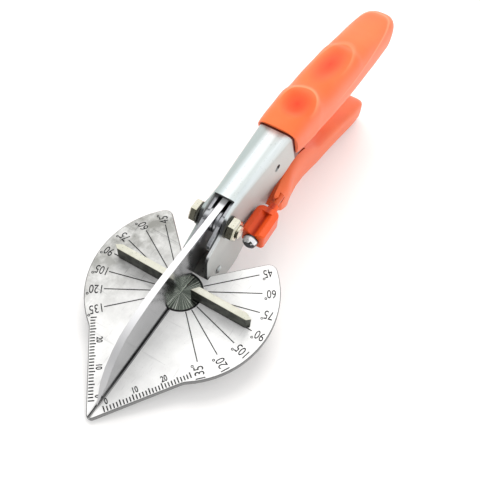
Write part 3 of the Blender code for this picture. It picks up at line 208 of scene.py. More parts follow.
# Tones that the paints blend in
WHITE = (1, 1, 1)
SMUDGE = (0.40, 0.40, 0.41)
LEFT_SIDE_SHADE = (0.22, 0.22, 0.20)
SCRATCH = (0.16, 0.16, 0.17)
EDGE_SHADE = (0.06, 0.06, 0.062)
SLOT_LIP = (0.08, 0.08, 0.085)
SLOT_SHADE = (0.008, 0.008, 0.009)
DISC_GAP_SHADE = (0.008, 0.009, 0.008)
BAR_SIDE_SHADE = (0.020, 0.025, 0.017)
BAR_FOOT_SHADOW = (0.004, 0.005, 0.004)
FACET_SHADE = (0.040, 0.038, 0.026)
ROD_ORANGE = (0.70, 0.10, 0.02)
SCREW_SHADE = (0.012, 0.012, 0.016)
CHANNEL_REFLECTION = (0.35, 0.41, 0.39)
CHANNEL_SIDE_SHADE = (0.48, 0.49, 0.47)
CHANNEL_INSIDE_SHADE = (0.010, 0.010, 0.010)
CHANNEL_FRONT_SHADE = (0.012, 0.012, 0.014)
MOUTH_SHADE = (0.15, 0.014, 0.006)
BLADE_SIDE_SHADE = (0.44, 0.44, 0.45)
BLADE_NOSE_SHADE = (0.36, 0.36, 0.37)
KNOB_INNER_SHADE = (0.50, 0.035, 0.006)
KNOB_VALLEY_SHADE = (0.38, 0.022, 0.004)
SCOOP_SHADE = (0.79, 0.032, 0.001)
SCOOP_RIM_HIGHLIGHT = (0.95, 0.38, 0.20)
SIDE_LINE_HIGHLIGHT = (1.0, 0.42, 0.24)


# Shader nodes

def new_material(name):
    made = bpy.data.materials.new(name)
    made.use_nodes = True
    return made, made.node_tree, made.node_tree.nodes["Principled BSDF"]


def node(tree, kind, inputs=(), **settings):
    """A shader node with its settings and its inputs, which are values or other nodes' outputs."""
    made = tree.nodes.new("ShaderNode" + kind)
    for name, value in settings.items():
        setattr(made, name, value)
    for name, value in dict(inputs).items():
        if isinstance(value, bpy.types.NodeSocket):
            tree.links.new(value, made.inputs[name])
        else:
            made.inputs[name].default_value = value
    return made


def ramp(tree, value, stops):
    """A colour ramp over (position, grey or colour) stops."""
    made = node(tree, "ValToRGB", {"Fac": value})
    points = made.color_ramp.elements
    while len(points) < len(stops):
        points.new(0.5)
    for point, (place, colour) in zip(points, stops):
        point.position = place
        point.color = (colour,) * 3 + (1,) if isinstance(colour, (int, float)) else (*colour, 1)
    return made.outputs["Color"]


def noise(tree, vector, scale, detail=2.0, roughness=0.5):
    made = node(tree, "TexNoise", {"Vector": vector, "Scale": scale, "Detail": detail, "Roughness": roughness})
    return made.outputs["Fac"]


def blend_colour(tree, factor, a, b):
    made = node(tree, "Mix", {0: factor}, data_type="RGBA")
    for index, value in ((6, a), (7, b)):
        if isinstance(value, bpy.types.NodeSocket):
            tree.links.new(value, made.inputs[index])
        else:
            made.inputs[index].default_value = (*value, 1)
    return made.outputs[2]


def between(tree, value, low, high, start=0.0, end=1.0):
    """What lies as far from start to end as a value lies from low to high, kept within them."""
    return node(tree, "MapRange", {"Value": value, "From Min": low, "From Max": high, "To Min": start,
                                   "To Max": end}).outputs[0]


def math_node(tree, operation, *values):
    return node(tree, "Math", dict(enumerate(values)), operation=operation).outputs[0]


def times(tree, first, *others):
    for other in others:
        first = math_node(tree, "MULTIPLY", first, other)
    return first


def minus(tree, a, b):
    return math_node(tree, "SUBTRACT", a, b)


def size_of(tree, value):
    return math_node(tree, "ABSOLUTE", value)


def vector_node(tree, operation, *values, output="Vector"):
    return node(tree, "VectorMath", dict(enumerate(values)), operation=operation).outputs[output]


def axis_of(tree, vector, axis):
    return node(tree, "SeparateXYZ", {0: vector}).outputs[axis]


def bump(tree, shader, height, strength, distance):
    made = node(tree, "Bump", {"Height": height, "Strength": strength, "Distance": distance})
    tree.links.new(made.outputs["Normal"], shader.inputs["Normal"])


def object_place(tree):
    return node(tree, "TexCoord").outputs["Object"]


def plate_place(tree):
    """Texture coordinates in the plate's own frame."""
    turned = Matrix.Rotation(-TILT, 3, "Y") @ ORIGIN
    return node(tree, "Mapping", {"Vector": object_place(tree), "Rotation": (0, -TILT, 0),
                                  "Location": tuple(-turned)}, vector_type="POINT").outputs["Vector"]


def facing(tree, axis="Z"):
    """How far a face looks along an axis of the plate, from -1 to 1; Z is up."""
    turned = node(tree, "Mapping", {"Vector": node(tree, "TexCoord").outputs["Normal"], "Rotation": (0, -TILT, 0)})
    return axis_of(tree, turned.outputs["Vector"], axis)


def disc_gap(tree, place):
    """1 in the round gap between the turntable and the plate."""
    radius = vector_node(tree, "LENGTH", vector_node(tree, "MULTIPLY", place, (1, 1, 0)), output="Value")
    return between(tree, size_of(tree, minus(tree, radius, DISC_RADIUS)), GAP_HALF * 1.5, GAP_HALF * 0.8)


# Paints of the metals: each blends its tones over a metal's own, and may link the metal's Metallic

def plate_paint(tree, shader, place, tone):
    """Smudges, painted shade in patches over the left side, fine scratches both ways, painted shade on the cut edges,
    a dark grey stripe along the slot's lips, and painted shade in the slot and the round gap.
    """
    smudge = ramp(tree, noise(tree, place, 75.0, 6.0, 0.7), ((0.46, 0), (0.66, 1)))
    tone = blend_colour(tree, times(tree, smudge, 0.15), tone, SMUDGE)
    # painted shade: the left side of the plate is darkened in patches, and the scratches show more where it lies
    leftward = vector_node(tree, "DOT_PRODUCT", place, (0.5, 1.0, 0), output="Value")
    patchy = ramp(tree, noise(tree, place, 130.0, 5.0, 0.65), ((0.38, 0.45), (0.60, 1)))
    left_shade = times(tree, between(tree, leftward, 0.004, -0.034), patchy, 0.92)
    tone = blend_colour(tree, left_shade, tone, LEFT_SIDE_SHADE)
    for stretch, scale in (((1, 0.05, 1), 700.0), ((0.10, 1, 1), 900.0)):
        lines = noise(tree, vector_node(tree, "MULTIPLY", place, stretch), scale, 2.0, 0.6)
        share = times(tree, ramp(tree, lines, ((0.64, 0), (0.72, 1))), between(tree, left_shade, 0.0, 1.0, 0.18, 0.60))
        tone = blend_colour(tree, share, tone, SCRATCH)
    # painted shade on the faces that turn away from up, the plate's cut edges
    tone = blend_colour(tree, times(tree, between(tree, facing(tree), 0.985, 0.88), 0.85), tone, EDGE_SHADE)

    along, aside = axis_of(tree, place, "X"), size_of(tree, axis_of(tree, place, "Y"))
    ahead = math_node(tree, "GREATER_THAN", along, DISC_RADIUS * 0.9)
    fade = between(tree, along, 0.052, 0.034, 0.35)
    within = math_node(tree, "LESS_THAN", aside, SLOT_HALF)
    low = math_node(tree, "LESS_THAN", axis_of(tree, place, "Z"), -0.00008)
    # painted shade down in the slot's groove ahead of the turntable and in the round gap around it
    gap_shade = math_node(tree, "MAXIMUM", times(tree, within, low, ahead, fade), disc_gap(tree, place))
    lip = ramp(tree, times(tree, aside, 100.0), ((0.0, 0.8), (0.076, 0.8), (0.080, 1), (0.090, 1), (0.098, 0)))
    lip = times(tree, lip, ahead, fade, 0.9)
    tone = blend_colour(tree, lip, tone, SLOT_LIP)
    off_dark_lines = minus(tree, 1.0, math_node(tree, "MAXIMUM", gap_shade, lip))
    tree.links.new(times(tree, off_dark_lines, 0.12), shader.inputs["Metallic"])
    return blend_colour(tree, gap_shade, tone, SLOT_SHADE)


def side_paint(tree, shader, place, tone):
    """Painted shade: sides and ends darker than the top, mottled, and a painted black contact shadow at the foot."""
    side = between(tree, facing(tree), 0.6, 0.2)
    shade_mottle = ramp(tree, noise(tree, place, 420.0, 4.0), ((0.40, 0.94), (0.62, 1)))
    tone = blend_colour(tree, times(tree, side, shade_mottle), tone, BAR_SIDE_SHADE)
    # painted contact shadow along the bar's foot
    foot = between(tree, axis_of(tree, place, "Z"), 0.0014, 0.0008)
    return blend_colour(tree, times(tree, foot, side), tone, BAR_FOOT_SHADOW)


def under_paint(tree, shader, place, tone):
    """Painted shade on the flats that look ahead or down; the end and the upper flats keep their tone."""
    under = between(tree, facing(tree), 0.85, 0.60)
    side = between(tree, size_of(tree, facing(tree, "Y")), 0.85, 0.55)
    # painted shade on the lower and forward flats
    return blend_colour(tree, times(tree, under, side, 0.93), tone, FACET_SHADE)


def rod_paint(tree, shader, place, tone):
    """The latch screw's head has painted shade below and at its foot; the shank takes the grip's colour behind the
    knob.
    """
    along = axis_of(tree, place, "X")
    behind = math_node(tree, "LESS_THAN", along, KNOB_BEHIND)
    head = minus(tree, 1.0, behind)
    tree.links.new(head, shader.inputs["Metallic"])
    tone = blend_colour(tree, behind, tone, ROD_ORANGE)
    # painted shade on the head's underside and at the screw's foot
    under = between(tree, facing(tree), 0.42, 0.12)
    foot = between(tree, along, SCREW_FOOT, SCREW_FOOT - 0.0005)
    return blend_colour(tree, times(tree, math_node(tree, "MAXIMUM", under, foot), head, 0.93), tone, SCREW_SHADE)


def web_paint(tree, shader, place, tone):
    """Painted reflection stripes along the channel's top, painted shade on its sides, inside its cheeks and on its
    front edges, and a painted shade line at the grip's mouth."""
    along, aside, height = (axis_of(tree, place, axis) for axis in "XYZ")
    # painted reflection: light and dark stripes across the channel's top
    reflection_bands = ramp(tree, between(tree, aside, -CHANNEL_HALF, CHANNEL_HALF), (
        (0.0, 0.80), (0.10, 0.74), (0.28, 0.78), (0.40, 0.0), (0.58, 0.0), (0.66, 0.50), (0.72, 0.44), (0.80, 0.05),
        (0.90, 0.20), (1.0, 0.45)))
    top = between(tree, facing(tree), 0.2, 0.7)
    tone = blend_colour(tree, times(tree, reflection_bands, top), tone, CHANNEL_REFLECTION)
    tree.links.new(between(tree, top, 0.0, 1.0, 0.12, 0.4), shader.inputs["Metallic"])
    # painted shade on the channel's sides
    tone = blend_colour(tree, times(tree, minus(tree, 1.0, top), 0.85), tone, CHANNEL_SIDE_SHADE)
    # painted shade on the cheeks' inner faces, back from the front
    inward = math_node(tree, "LESS_THAN", times(tree, facing(tree, "Y"), aside), -0.001)
    inside = times(tree, inward, math_node(tree, "LESS_THAN", along, INSIDE_FROM))
    tone = blend_colour(tree, times(tree, inside, 0.97), tone, CHANNEL_INSIDE_SHADE)
    # painted shade on the faces that look ahead, the cheeks' front edges
    front = between(tree, facing(tree, "X"), 0.45, 0.8)
    tone = blend_colour(tree, times(tree, front, 0.93), tone, CHANNEL_FRONT_SHADE)
    # painted shade of the gap where the channel enters the grip's mouth
    mouth_x, mouth_z, slope = MOUTH_LINE
    mouth = minus(tree, along, times(tree, minus(tree, height, mouth_z), slope))
    gap = between(tree, mouth, mouth_x + MOUTH_GAP + 0.0002, mouth_x + MOUTH_GAP)
    return blend_colour(tree, times(tree, gap, 0.95), tone, MOUTH_SHADE)


def blade_paint(tree, shader, place, tone):
    """Ground flats with painted shade, darker than the brushed back, which dulls and takes painted shade towards the
    nose.
    """
    flat = between(tree, size_of(tree, facing(tree, "Y")), 0.6, 0.9)
    nose = between(tree, axis_of(tree, place, "X"), 0.018, 0.036)
    shine = between(tree, nose, 0.0, 1.0, 0.45, 0.0)
    tree.links.new(math_node(tree, "MAXIMUM", flat, shine), shader.inputs["Metallic"])
    # painted shade on the side flats and, towards the nose, on the back
    tone = blend_colour(tree, flat, tone, BLADE_SIDE_SHADE)
    return blend_colour(tree, times(tree, minus(tree, 1.0, flat), nose, 0.8), tone, BLADE_NOSE_SHADE)


# Paints of the plastics

def valley_paint(tree, tone):
    """Painted shade in the latch's valley and on its inner wing, which are darker than its outer wing."""
    place = plate_place(tree)
    out = minus(tree, axis_of(tree, place, "Y"), LATCH_OUT)
    # painted shade on the inner wing, which turns away from the light
    tone = blend_colour(tree, times(tree, between(tree, out, 0.0002, -0.0010), 0.45), tone, KNOB_INNER_SHADE)
    # painted shade down in the valley
    near = between(tree, size_of(tree, out), 0.0013, 0.0003)
    high = math_node(tree, "GREATER_THAN", axis_of(tree, place, "Z"), LATCH_HIGH)
    return blend_colour(tree, times(tree, near, high, 0.85), tone, KNOB_VALLEY_SHADE)


def scoop_paint(tree, tone):
    """Painted shade in the thumb scoops, and painted highlights on the rims behind them and along the sides' moulded
    lines.
    """
    place = plate_place(tree)
    top = between(tree, axis_of(tree, node(tree, "TexCoord").outputs["Normal"], "Z"), 0.2, 0.5)
    for middle_x, middle_y, half_length, half_width, _, height in SCOOPS:
        off = vector_node(tree, "SUBTRACT", place, (middle_x, middle_y, 0))
        reach = vector_node(tree, "LENGTH", vector_node(
            tree, "MULTIPLY", off, (1 / half_length, 1 / half_width, 0)), output="Value")
        # painted shade in each scoop's hollow
        hollow_shade = ramp(tree, reach, ((0.0, 1), (0.45, 0.62), (0.98, 0)))
        tone = blend_colour(tree, times(tree, hollow_shade, top, 0.95), tone, SCOOP_SHADE)
        # painted highlight on the rim behind each scoop
        behind = between(tree, axis_of(tree, off, "X"), half_length * 0.3, half_length * -0.5)
        rim = ramp(tree, reach, ((0.0, 0), (0.94, 0), (1.0, 1)))
        share = times(tree, rim, between(tree, reach, 1.18, 1.03), behind, top, height * 1500)
        tone = blend_colour(tree, share, tone, SCOOP_RIM_HIGHLIGHT)
    # painted highlight along the side's moulded line
    along, height = axis_of(tree, place, "X"), axis_of(tree, place, "Z")
    line_x, line_z, slope = SIDE_LINE
    rise = times(tree, minus(tree, along, line_x), slope)
    off = size_of(tree, minus(tree, minus(tree, height, line_z), rise))
    near, back = between(tree, off, 0.0007, 0.0001), between(tree, along, line_x, line_x - 0.012)
    return blend_colour(tree, times(tree, near, back, 0.4), tone, SIDE_LINE_HIGHLIGHT)


# Materials

def metal(name, light, dark, roughness, cloud=90.0, stretch=(1, 1, 1), grain=(1, 1, 1), grain_scale=2500.0,
          specks=0.5, depth=0.000012, metallic=1.0, paint=None):
    """Bare or plated metal: soft clouds of tone, small dark specks and fine stretched scratches."""
    made, tree, shader = new_material(name)
    place = plate_place(tree)
    clouds = noise(tree, vector_node(tree, "MULTIPLY", place, stretch), cloud, 4.0, 0.6)
    tone = blend_colour(tree, ramp(tree, clouds, ((0.36, 0), (0.66, 1))), dark, light)
    spots = ramp(tree, noise(tree, place, 1500.0, 1.0), ((0.66, 0), (0.74, 1)))
    tone = blend_colour(tree, times(tree, spots, specks), tone, tuple(c * 0.35 for c in dark))
    if paint:
        tone = paint(tree, shader, place, tone)
    tree.links.new(tone, shader.inputs["Base Color"])
    fine = noise(tree, vector_node(tree, "MULTIPLY", place, grain), grain_scale, 3.0, 0.6)
    tree.links.new(between(tree, fine, 0.0, 1.0, roughness * 0.75, roughness * 1.3), shader.inputs["Roughness"])
    if not shader.inputs["Metallic"].is_linked:
        shader.inputs["Metallic"].default_value = metallic
    bump(tree, shader, fine, 0.5, depth)
    return made


def turned_metal(name):
    """The turntable's face: painted reflection streaks spreading out from its middle, lathe rings and a painted shade
    rim in the round gap.
    """
    made, tree, shader = new_material(name)
    place = plate_place(tree)
    flat = vector_node(tree, "MULTIPLY", place, (1, 1, 0))
    # painted reflection: light and dark streaks around the middle stand for the turned face's reflection
    fan_reflection = noise(tree, vector_node(tree, "NORMALIZE", flat), 15.0, 3.0, 0.7)
    tone = ramp(tree, fan_reflection, ((0.34, (0.025, 0.034, 0.028)), (0.46, (0.13, 0.155, 0.13)),
                            (0.56, (0.32, 0.36, 0.30)), (0.64, (0.92, 0.95, 0.86))))
    # painted shade in the round gap at the rim
    gap_shade = disc_gap(tree, place)
    tree.links.new(blend_colour(tree, gap_shade, tone, DISC_GAP_SHADE), shader.inputs["Base Color"])
    distance = vector_node(tree, "LENGTH", flat, output="Value")
    bump(tree, shader, math_node(tree, "SINE", times(tree, distance, 26000.0)), 0.25, 0.000008)
    tree.links.new(minus(tree, 1.0, gap_shade), shader.inputs["Metallic"])
    shader.inputs["Roughness"].default_value = 0.20
    return made


def plastic(name, light, dark, roughness, paint=None):
    """Moulded soft plastic with a faint orange-peel skin and slightly uneven colour."""
    made, tree, shader = new_material(name)
    place = object_place(tree)
    clouds = noise(tree, place, 45.0, 3.0)
    tone = blend_colour(tree, ramp(tree, clouds, ((0.35, 0), (0.68, 1))), dark, light)
    if paint:
        tone = paint(tree, tone)
    dust = ramp(tree, noise(tree, place, 2300.0, 1.0), ((0.72, 0), (0.80, 1)))
    tone = blend_colour(tree, times(tree, dust, 0.12), tone, tuple(min(1, c * 1.3 + 0.05) for c in light))
    tree.links.new(tone, shader.inputs["Base Color"])
    tree.links.new(between(tree, clouds, 0.0, 1.0, roughness * 0.85, roughness * 1.15), shader.inputs["Roughness"])
    bump(tree, shader, noise(tree, place, 1400.0, 2.0), 0.25, 0.00002)
    shader.inputs["Specular IOR Level"].default_value = 0.35
    return made


def ink(name):
    """Etched dark marks, a little worn."""
    made, tree, shader = new_material(name)
    worn = noise(tree, object_place(tree), 1800.0, 2.0)
    tone = ramp(tree, worn, ((0.45, (0.010, 0.010, 0.011)), (0.75, (0.09, 0.09, 0.095))))
    tree.links.new(tone, shader.inputs["Base Color"])
    shader.inputs["Roughness"].default_value = 0.8
    shader.inputs["Specular IOR Level"].default_value = 0.15
    return made


INK = ink("mark_ink")
# By the colour slots of the CAD nodes, and by other names for the nodes that look different from their slot
FINISHES = {
    "chrome": metal("pressed_sheet", (0.97, 0.985, 0.98), (0.66, 0.72, 0.74), 0.42, cloud=190.0,
                    stretch=(0.03, 1, 0.25), grain=(0.3, 1, 1), specks=0.3, metallic=0.4, paint=web_paint),
    "steel": metal("plain_steel", (0.72, 0.73, 0.75), (0.50, 0.51, 0.54), 0.30),
    "plate": metal("etched_plate", (0.97, 0.97, 0.96), (0.89, 0.89, 0.88), 0.40, cloud=110.0,
                   grain=(1, 0.5, 1), specks=0.15, depth=0.0000015, paint=plate_paint),
    "polished": metal("polished_screw", (0.93, 0.93, 0.94), (0.80, 0.80, 0.82), 0.09, specks=0.1,
                      depth=0.000002, paint=rod_paint),
    "plated": metal("plated_hex", (0.93, 0.91, 0.78), (0.80, 0.78, 0.62), 0.26, cloud=240.0, specks=0.4,
                    paint=under_paint),
    "blade": metal("ground_steel", (0.97, 0.97, 0.98), (0.86, 0.86, 0.88), 0.15, cloud=40.0,
                   grain=(0.03, 1, 1), grain_scale=1100.0, specks=0.05, depth=0.0000015, paint=blade_paint),
    # painted shade: the washers' dark colour stands for the shadow between the pivot's ends and the cheeks
    "dark": metal("washer_painted_shade", (0.12, 0.12, 0.10), (0.05, 0.05, 0.04), 0.35, cloud=300.0, metallic=0.6),
    "turned": turned_metal("turned_face"),
    "zinc": metal("zinc_plate", (0.93, 0.92, 0.80), (0.80, 0.79, 0.66), 0.30, cloud=200.0, specks=0.35,
                  paint=side_paint),
    "cast": metal("sawn_block", (0.42, 0.42, 0.40), (0.24, 0.24, 0.23), 0.48, cloud=200.0, specks=0.7),
    "orange": plastic("orange_grip", (0.90, 0.168, 0.042), (0.86, 0.138, 0.032), 0.42),
    "deep_orange": plastic("orange_latch", (0.90, 0.120, 0.020), (0.84, 0.095, 0.014), 0.34, valley_paint),
    "scooped": plastic("scooped_grip", (0.92, 0.175, 0.046), (0.88, 0.145, 0.034), 0.42, scoop_paint),
}
OWN_FINISH = {"latch_screw": "polished", "pivot_bolt": "plated", "pivot_nut": "plated",
              "pivot_washer_right": "dark", "pivot_washer_left": "dark"}
SLOTS = {entry["node"]: entry["material_slot"] for entry in frame["record"]["subparts"]}
CARRIERS = {empty.name: body for body, empty in frame["bodies"].items()}
BODIES = {name: CARRIERS[made.parent.name] for name, made in frame["nodes"].items()}


def finish_of(node_name):
    return FINISHES[OWN_FINISH.get(node_name, SLOTS[node_name])]


def finish_nodes():
    """Every CAD node takes its own finish or its slot's."""
    for name, made in frame["nodes"].items():
        made.data.materials.clear()
        made.data.materials.append(finish_of(name))


# Meshes

def link_mesh(name, bm, finish):
    mesh = bpy.data.meshes.new(name)
    bm.to_mesh(mesh)
    bm.free()
    mesh.materials.append(finish)
    made = bpy.data.objects.new(name, mesh)
    bpy.context.scene.collection.objects.link(made)
    return made


def add_piece(name, bm, finish, body):
    """A mesh drawn in the plate's frame, set in place on the body that carries it."""
    bm.transform(PLATE)
    made = link_mesh(name, bm, finish)
    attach(made, body)


def stand_for(made, node_name):
    """A piece takes the place of a CAD node, on the same body."""
    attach(made, BODIES[node_name])
    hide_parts(node_name)


def smooth_mesh(bm, angle):
    """Smooth faces that meet at a sharp line where they turn by more than an angle."""
    for face in bm.faces:
        face.smooth = True
    for edge in bm.edges:
        edge.smooth = len(edge.link_faces) == 2 and edge.calc_face_angle(0) < math.radians(angle)


def skin(bm, rows):
    """Faces between neighbouring rows of vertices, each row a closed round of the same count."""
    for a, b in zip(rows, rows[1:]):
        for i in range(len(a)):
            bm.faces.new((a[i - 1], a[i], b[i], b[i - 1]))


# Marks and rulers

def slab(bm, start, end, width):
    """A thin straight line on the plate between two plan points."""
    start, end = Vector(start), Vector(end)
    along = (end - start).normalized()
    side = Vector((-along.y, along.x)) * width / 2
    rim = (start - side, end - side, end + side, start + side)
    low, high = ([bm.verts.new((p.x, p.y, level)) for p in rim] for level in (MARK_LOW, MARK_HIGH))
    bm.faces.new(low[::-1])
    bm.faces.new(high)
    skin(bm, (low, high))


def degree_ring(bm, place):
    """The small raised ring after a number."""
    rows = []
    for radius, level in ((RING_OUT, -1), (RING_OUT, 1), (RING_IN, 1), (RING_IN, -1)):
        turns = [math.tau * i / RING_SIDES for i in range(RING_SIDES)]
        rows.append([bm.verts.new((place.x + radius / NUMBER_NARROW * math.cos(turn),
                                   place.y + radius * math.sin(turn),
                                   level * (MARK_HIGH - MARK_LOW) / 2)) for turn in turns])
    skin(bm, rows + rows[:1])


def number(bm, text, place, along, size, align, bold=0.0, ring=False):
    """Narrow digits lying on the plate, read along a direction."""
    curve = bpy.data.curves.new("digits", "FONT")
    curve.body = text
    curve.size = size
    curve.align_y = "CENTER"
    curve.offset = size * bold
    curve.extrude = (MARK_HIGH - MARK_LOW) / 2
    curve.resolution_u = 4
    writer = bpy.data.objects.new("digits", curve)
    bpy.context.scene.collection.objects.link(writer)
    drawn = bmesh.new()
    drawn.from_mesh(bpy.data.meshes.new_from_object(writer))
    bpy.data.objects.remove(writer)
    bmesh.ops.remove_doubles(drawn, verts=drawn.verts, dist=0.000001)
    if ring:
        right = max(v.co.x for v in drawn.verts)
        top = max(v.co.y for v in drawn.verts)
        degree_ring(drawn, Vector((right, top)) + RING_OUT * Vector(RING_SHIFT))
    left, right = (pick(v.co.x for v in drawn.verts) for pick in (min, max))
    shift = {"LEFT": left, "CENTER": (left + right) / 2, "RIGHT": right}[align]
    across = Vector((-along.y, along.x))
    drawn.transform(Matrix((
        (along.x * NUMBER_NARROW, across.x, 0, place.x - along.x * NUMBER_NARROW * shift),
        (along.y * NUMBER_NARROW, across.y, 0, place.y - along.y * NUMBER_NARROW * shift),
        (0, 0, 1, (MARK_HIGH + MARK_LOW) / 2),
        (0, 0, 0, 1),
    )))
    flat = bpy.data.meshes.new("digits")
    drawn.to_mesh(flat)
    drawn.free()
    bm.from_mesh(flat)


def make_ruler(lines, digits, side):
    """The ticks along one straight edge, with their numbers inside them."""
    along = Vector((-math.cos(EDGE_ANGLE), math.sin(EDGE_ANGLE) * side))
    inward = Vector((-math.sin(EDGE_ANGLE), -math.cos(EDGE_ANGLE) * side))
    first = Vector((FIRST_TICK[0], FIRST_TICK[1] * side))
    for i in range(TICK_COUNT):
        length = LONG_TICK if i % TICKS_PER_NUMBER in LONG_TICKS else TICK_LENGTH
        foot = first + along * TICK_STEP * i
        slab(lines, foot, foot + inward * length, TICK_WIDTH)
    for i, text in enumerate(RULER_NUMBERS):
        place = first + along * (TICK_STEP * TICKS_PER_NUMBER * i + RULER_SHIFT) + inward * RULER_INSET
        number(digits, text, place, along * side, RULER_SIZE, "CENTER", bold=RULER_BOLD)


def make_marks():
    """The radial lines with their degrees on both lobes, and a ruler on each side."""
    lines = bmesh.new()
    digits = bmesh.new()
    for side in (1, -1):
        for angle in MARK_ANGLES:
            radial = Vector((-math.cos(math.radians(angle)), math.sin(math.radians(angle)) * side))
            end = MARK_END if angle < 100 else MARK_END_WIDE
            slab(lines, radial * MARK_START, radial * end, MARK_WIDTH)
            number(digits, str(angle), radial * (end + NUMBER_GAP), radial * -side, NUMBER_SIZE,
                   "RIGHT" if side > 0 else "LEFT", ring=True)
        make_ruler(lines, digits, side)
    add_piece("plate_lines", lines, INK, "frame")
    add_piece("plate_numbers", digits, INK, "frame")


# Pieces that keep their node's shape, with the width of their broken edges

REFINED = {
    "angle_plate": 0.00022, "blade": 0.0, "upper_channel": 0.00010, "lower_channel": 0.0, "jaw_block": 0.0002,
    "turntable": 0.0, "lower_grip": 0.0,
    "latch_knob": 0.00018, "latch_screw": 0.0, "pivot_bolt": 0.0001, "pivot_nut": 0.0001, "pivot_bush": 0.0,
    "pivot_washer_right": 0.00005, "pivot_washer_left": 0.00005, "pivot_spacer_right": 0.0,
    "pivot_spacer_left": 0.0, "tang_spacer_right": 0.0, "tang_spacer_left": 0.0, "blade_rivet": 0.0,
    "jaw_rivet_1": 0.0, "jaw_rivet_2": 0.0, "plate_screw_1": 0.0, "plate_screw_2": 0.0,
    "upper_spring_peg": 0.0, "lower_spring_peg": 0.0, "turntable_screw": 0.0, "turntable_washer": 0.0,
    "fence_screw_right": 0.0, "fence_screw_left": 0.0,
}


def broken_edges(node_name, bm, bevel):
    """A mesh that stands for a node, with smooth curves and its sharp edges broken."""
    smooth_mesh(bm, CREASE)
    made = link_mesh(node_name + "_piece", bm, finish_of(node_name))
    if bevel:
        rounder = made.modifiers.new("edges", "BEVEL")
        rounder.width = bevel
        rounder.segments = 2
        rounder.limit_method = "ANGLE"
        rounder.angle_limit = math.radians(40)
        rounder.harden_normals = True
    weights = made.modifiers.new("normals", "WEIGHTED_NORMAL")
    weights.keep_sharp = True
    weights.mode = "FACE_AREA"
    stand_for(made, node_name)


def refine(node_name, bevel):
    """The node's own shape with smooth curves and its sharp edges broken."""
    bm = bmesh.new()
    bm.from_mesh(frame["nodes"][node_name].data)
    bmesh.ops.remove_doubles(bm, verts=bm.verts, dist=0.000002)
    bmesh.ops.dissolve_limit(bm, angle_limit=math.radians(0.3), verts=bm.verts, edges=bm.edges)
    broken_edges(node_name, bm, bevel)


# Fence bars

def make_bar(node_name, side):
    """A fence bar with a pointed outer end and a slanted inner one."""
    bm = bmesh.new()
    low, high = ([bm.verts.new((x, y * side, z)) for x, y in BAR_PLAN] for z in (BAR_LOW, BAR_HIGH))
    bm.faces.new(low)
    bm.faces.new(high)
    skin(bm, (low, high))
    bmesh.ops.recalc_face_normals(bm, faces=bm.faces)
    bm.transform(PLATE)
    broken_edges(node_name, bm, BAR_BEVEL)


# Upper grip

def smooth_step(low, high, value):
    t = max(0.0, min(1.0, (value - low) / (high - low)))
    return t * t * (3 - 2 * t)


def profile_at(share):
    """The grip's smooth half width and half heights at a share of its length."""
    table = GRIP_PROFILE
    i = max(k for k in range(len(table) - 1) if table[k][0] <= min(share, TAPER_START - 1e-6))
    before, a, b, after = (table[max(0, min(len(table) - 1, k))] for k in (i - 1, i, i + 1, i + 2))
    width = b[0] - a[0]
    t = min(1.0, (share - a[0]) / width)
    values = []
    for k in (1, 2, 3):
        slope_a = (b[k] - before[k]) / (b[0] - before[0])
        slope_b = (after[k] - a[k]) / (after[0] - a[0])
        values.append((2 * t ** 3 - 3 * t ** 2 + 1) * a[k] + (t ** 3 - 2 * t ** 2 + t) * slope_a * width
                      + (3 * t ** 2 - 2 * t ** 3) * b[k] + (t ** 3 - t ** 2) * slope_b * width)
    end = max(0.0, (share - TAPER_START) / (1 - TAPER_START))
    round_end = (1 - end ** 2) ** 0.556
    return values[0] * round_end, values[1] * round_end, values[2] * (1 - end ** 1.5) ** 0.66


def scoop_drop(x, y):
    """How far the thumb scoops and their rear rims move a point of the grip's top."""
    drop = 0.0
    for middle_x, middle_y, half_length, half_width, depth, height in SCOOPS:
        reach = math.hypot((x - middle_x) / half_length, (y - middle_y) / half_width)
        drop -= depth * (1 - smooth_step(SCOOP_FLOOR, 1.0, reach))
        behind = smooth_step(half_length * 0.4, -half_length * 0.3, x - middle_x)
        drop += height * behind * math.exp(-((reach - RIM_REACH) / RIM_WIDTH) ** 2)
    return drop


def side_ridge(x, z):
    """How far the side's moulded line stands out at a point."""
    line_x, line_z, slope = SIDE_LINE
    off = z - (line_z + (x - line_x) * slope)
    return RIDGE_HEIGHT * math.exp(-(off / RIDGE_HALF) ** 2) * smooth_step(line_x, line_x - RIDGE_FADE, x)


def squared(value):
    return math.copysign(abs(value) ** (2 / GRIP_SQUARENESS), value)


def grip_ring(share):
    """One round of the grip: a squared oval with its part of the scoops and of the sides' lines."""
    half_width, above, below = profile_at(share)
    x = -GRIP_START - GRIP_LENGTH * share
    middle = GRIP_BEND[1] + (x - GRIP_BEND[0]) * GRIP_SLOPE - GRIP_DROP
    slant = MOUTH_SLANT * max(0.0, 1 - share * GRIP_LENGTH / GRIP_HALF_WIDTH / 2)
    points = []
    for i in range(GRIP_SIDES):
        angle = math.tau * (i + 0.5) / GRIP_SIDES
        across, up = squared(math.cos(angle)), squared(math.sin(angle))
        place_x = x + slant * up - slant / 2
        y = GRIP_HALF_WIDTH * half_width * across
        z = middle + up * GRIP_HALF_HEIGHT * (above if up > 0 else below)
        if up > 0:
            z += scoop_drop(place_x, y) * smooth_step(0.2, 0.75, up)
        if share < TAPER_START:
            y += math.copysign(side_ridge(place_x, z), y)
        points.append(Vector((place_x, y, z)))
    return points


def loft(bm, rings):
    """Closed body through rings of the same count, with a fan over its last end."""
    made = [[bm.verts.new(point) for point in ring] for ring in rings]
    skin(bm, made)
    first, last = made[0], made[-1]
    bm.faces.new(first[::-1])
    middle = bm.verts.new(sum((v.co for v in last), Vector()) / len(last))
    for i in range(len(last)):
        bm.faces.new((last[i - 1], last[i], middle))
    bmesh.ops.recalc_face_normals(bm, faces=bm.faces)


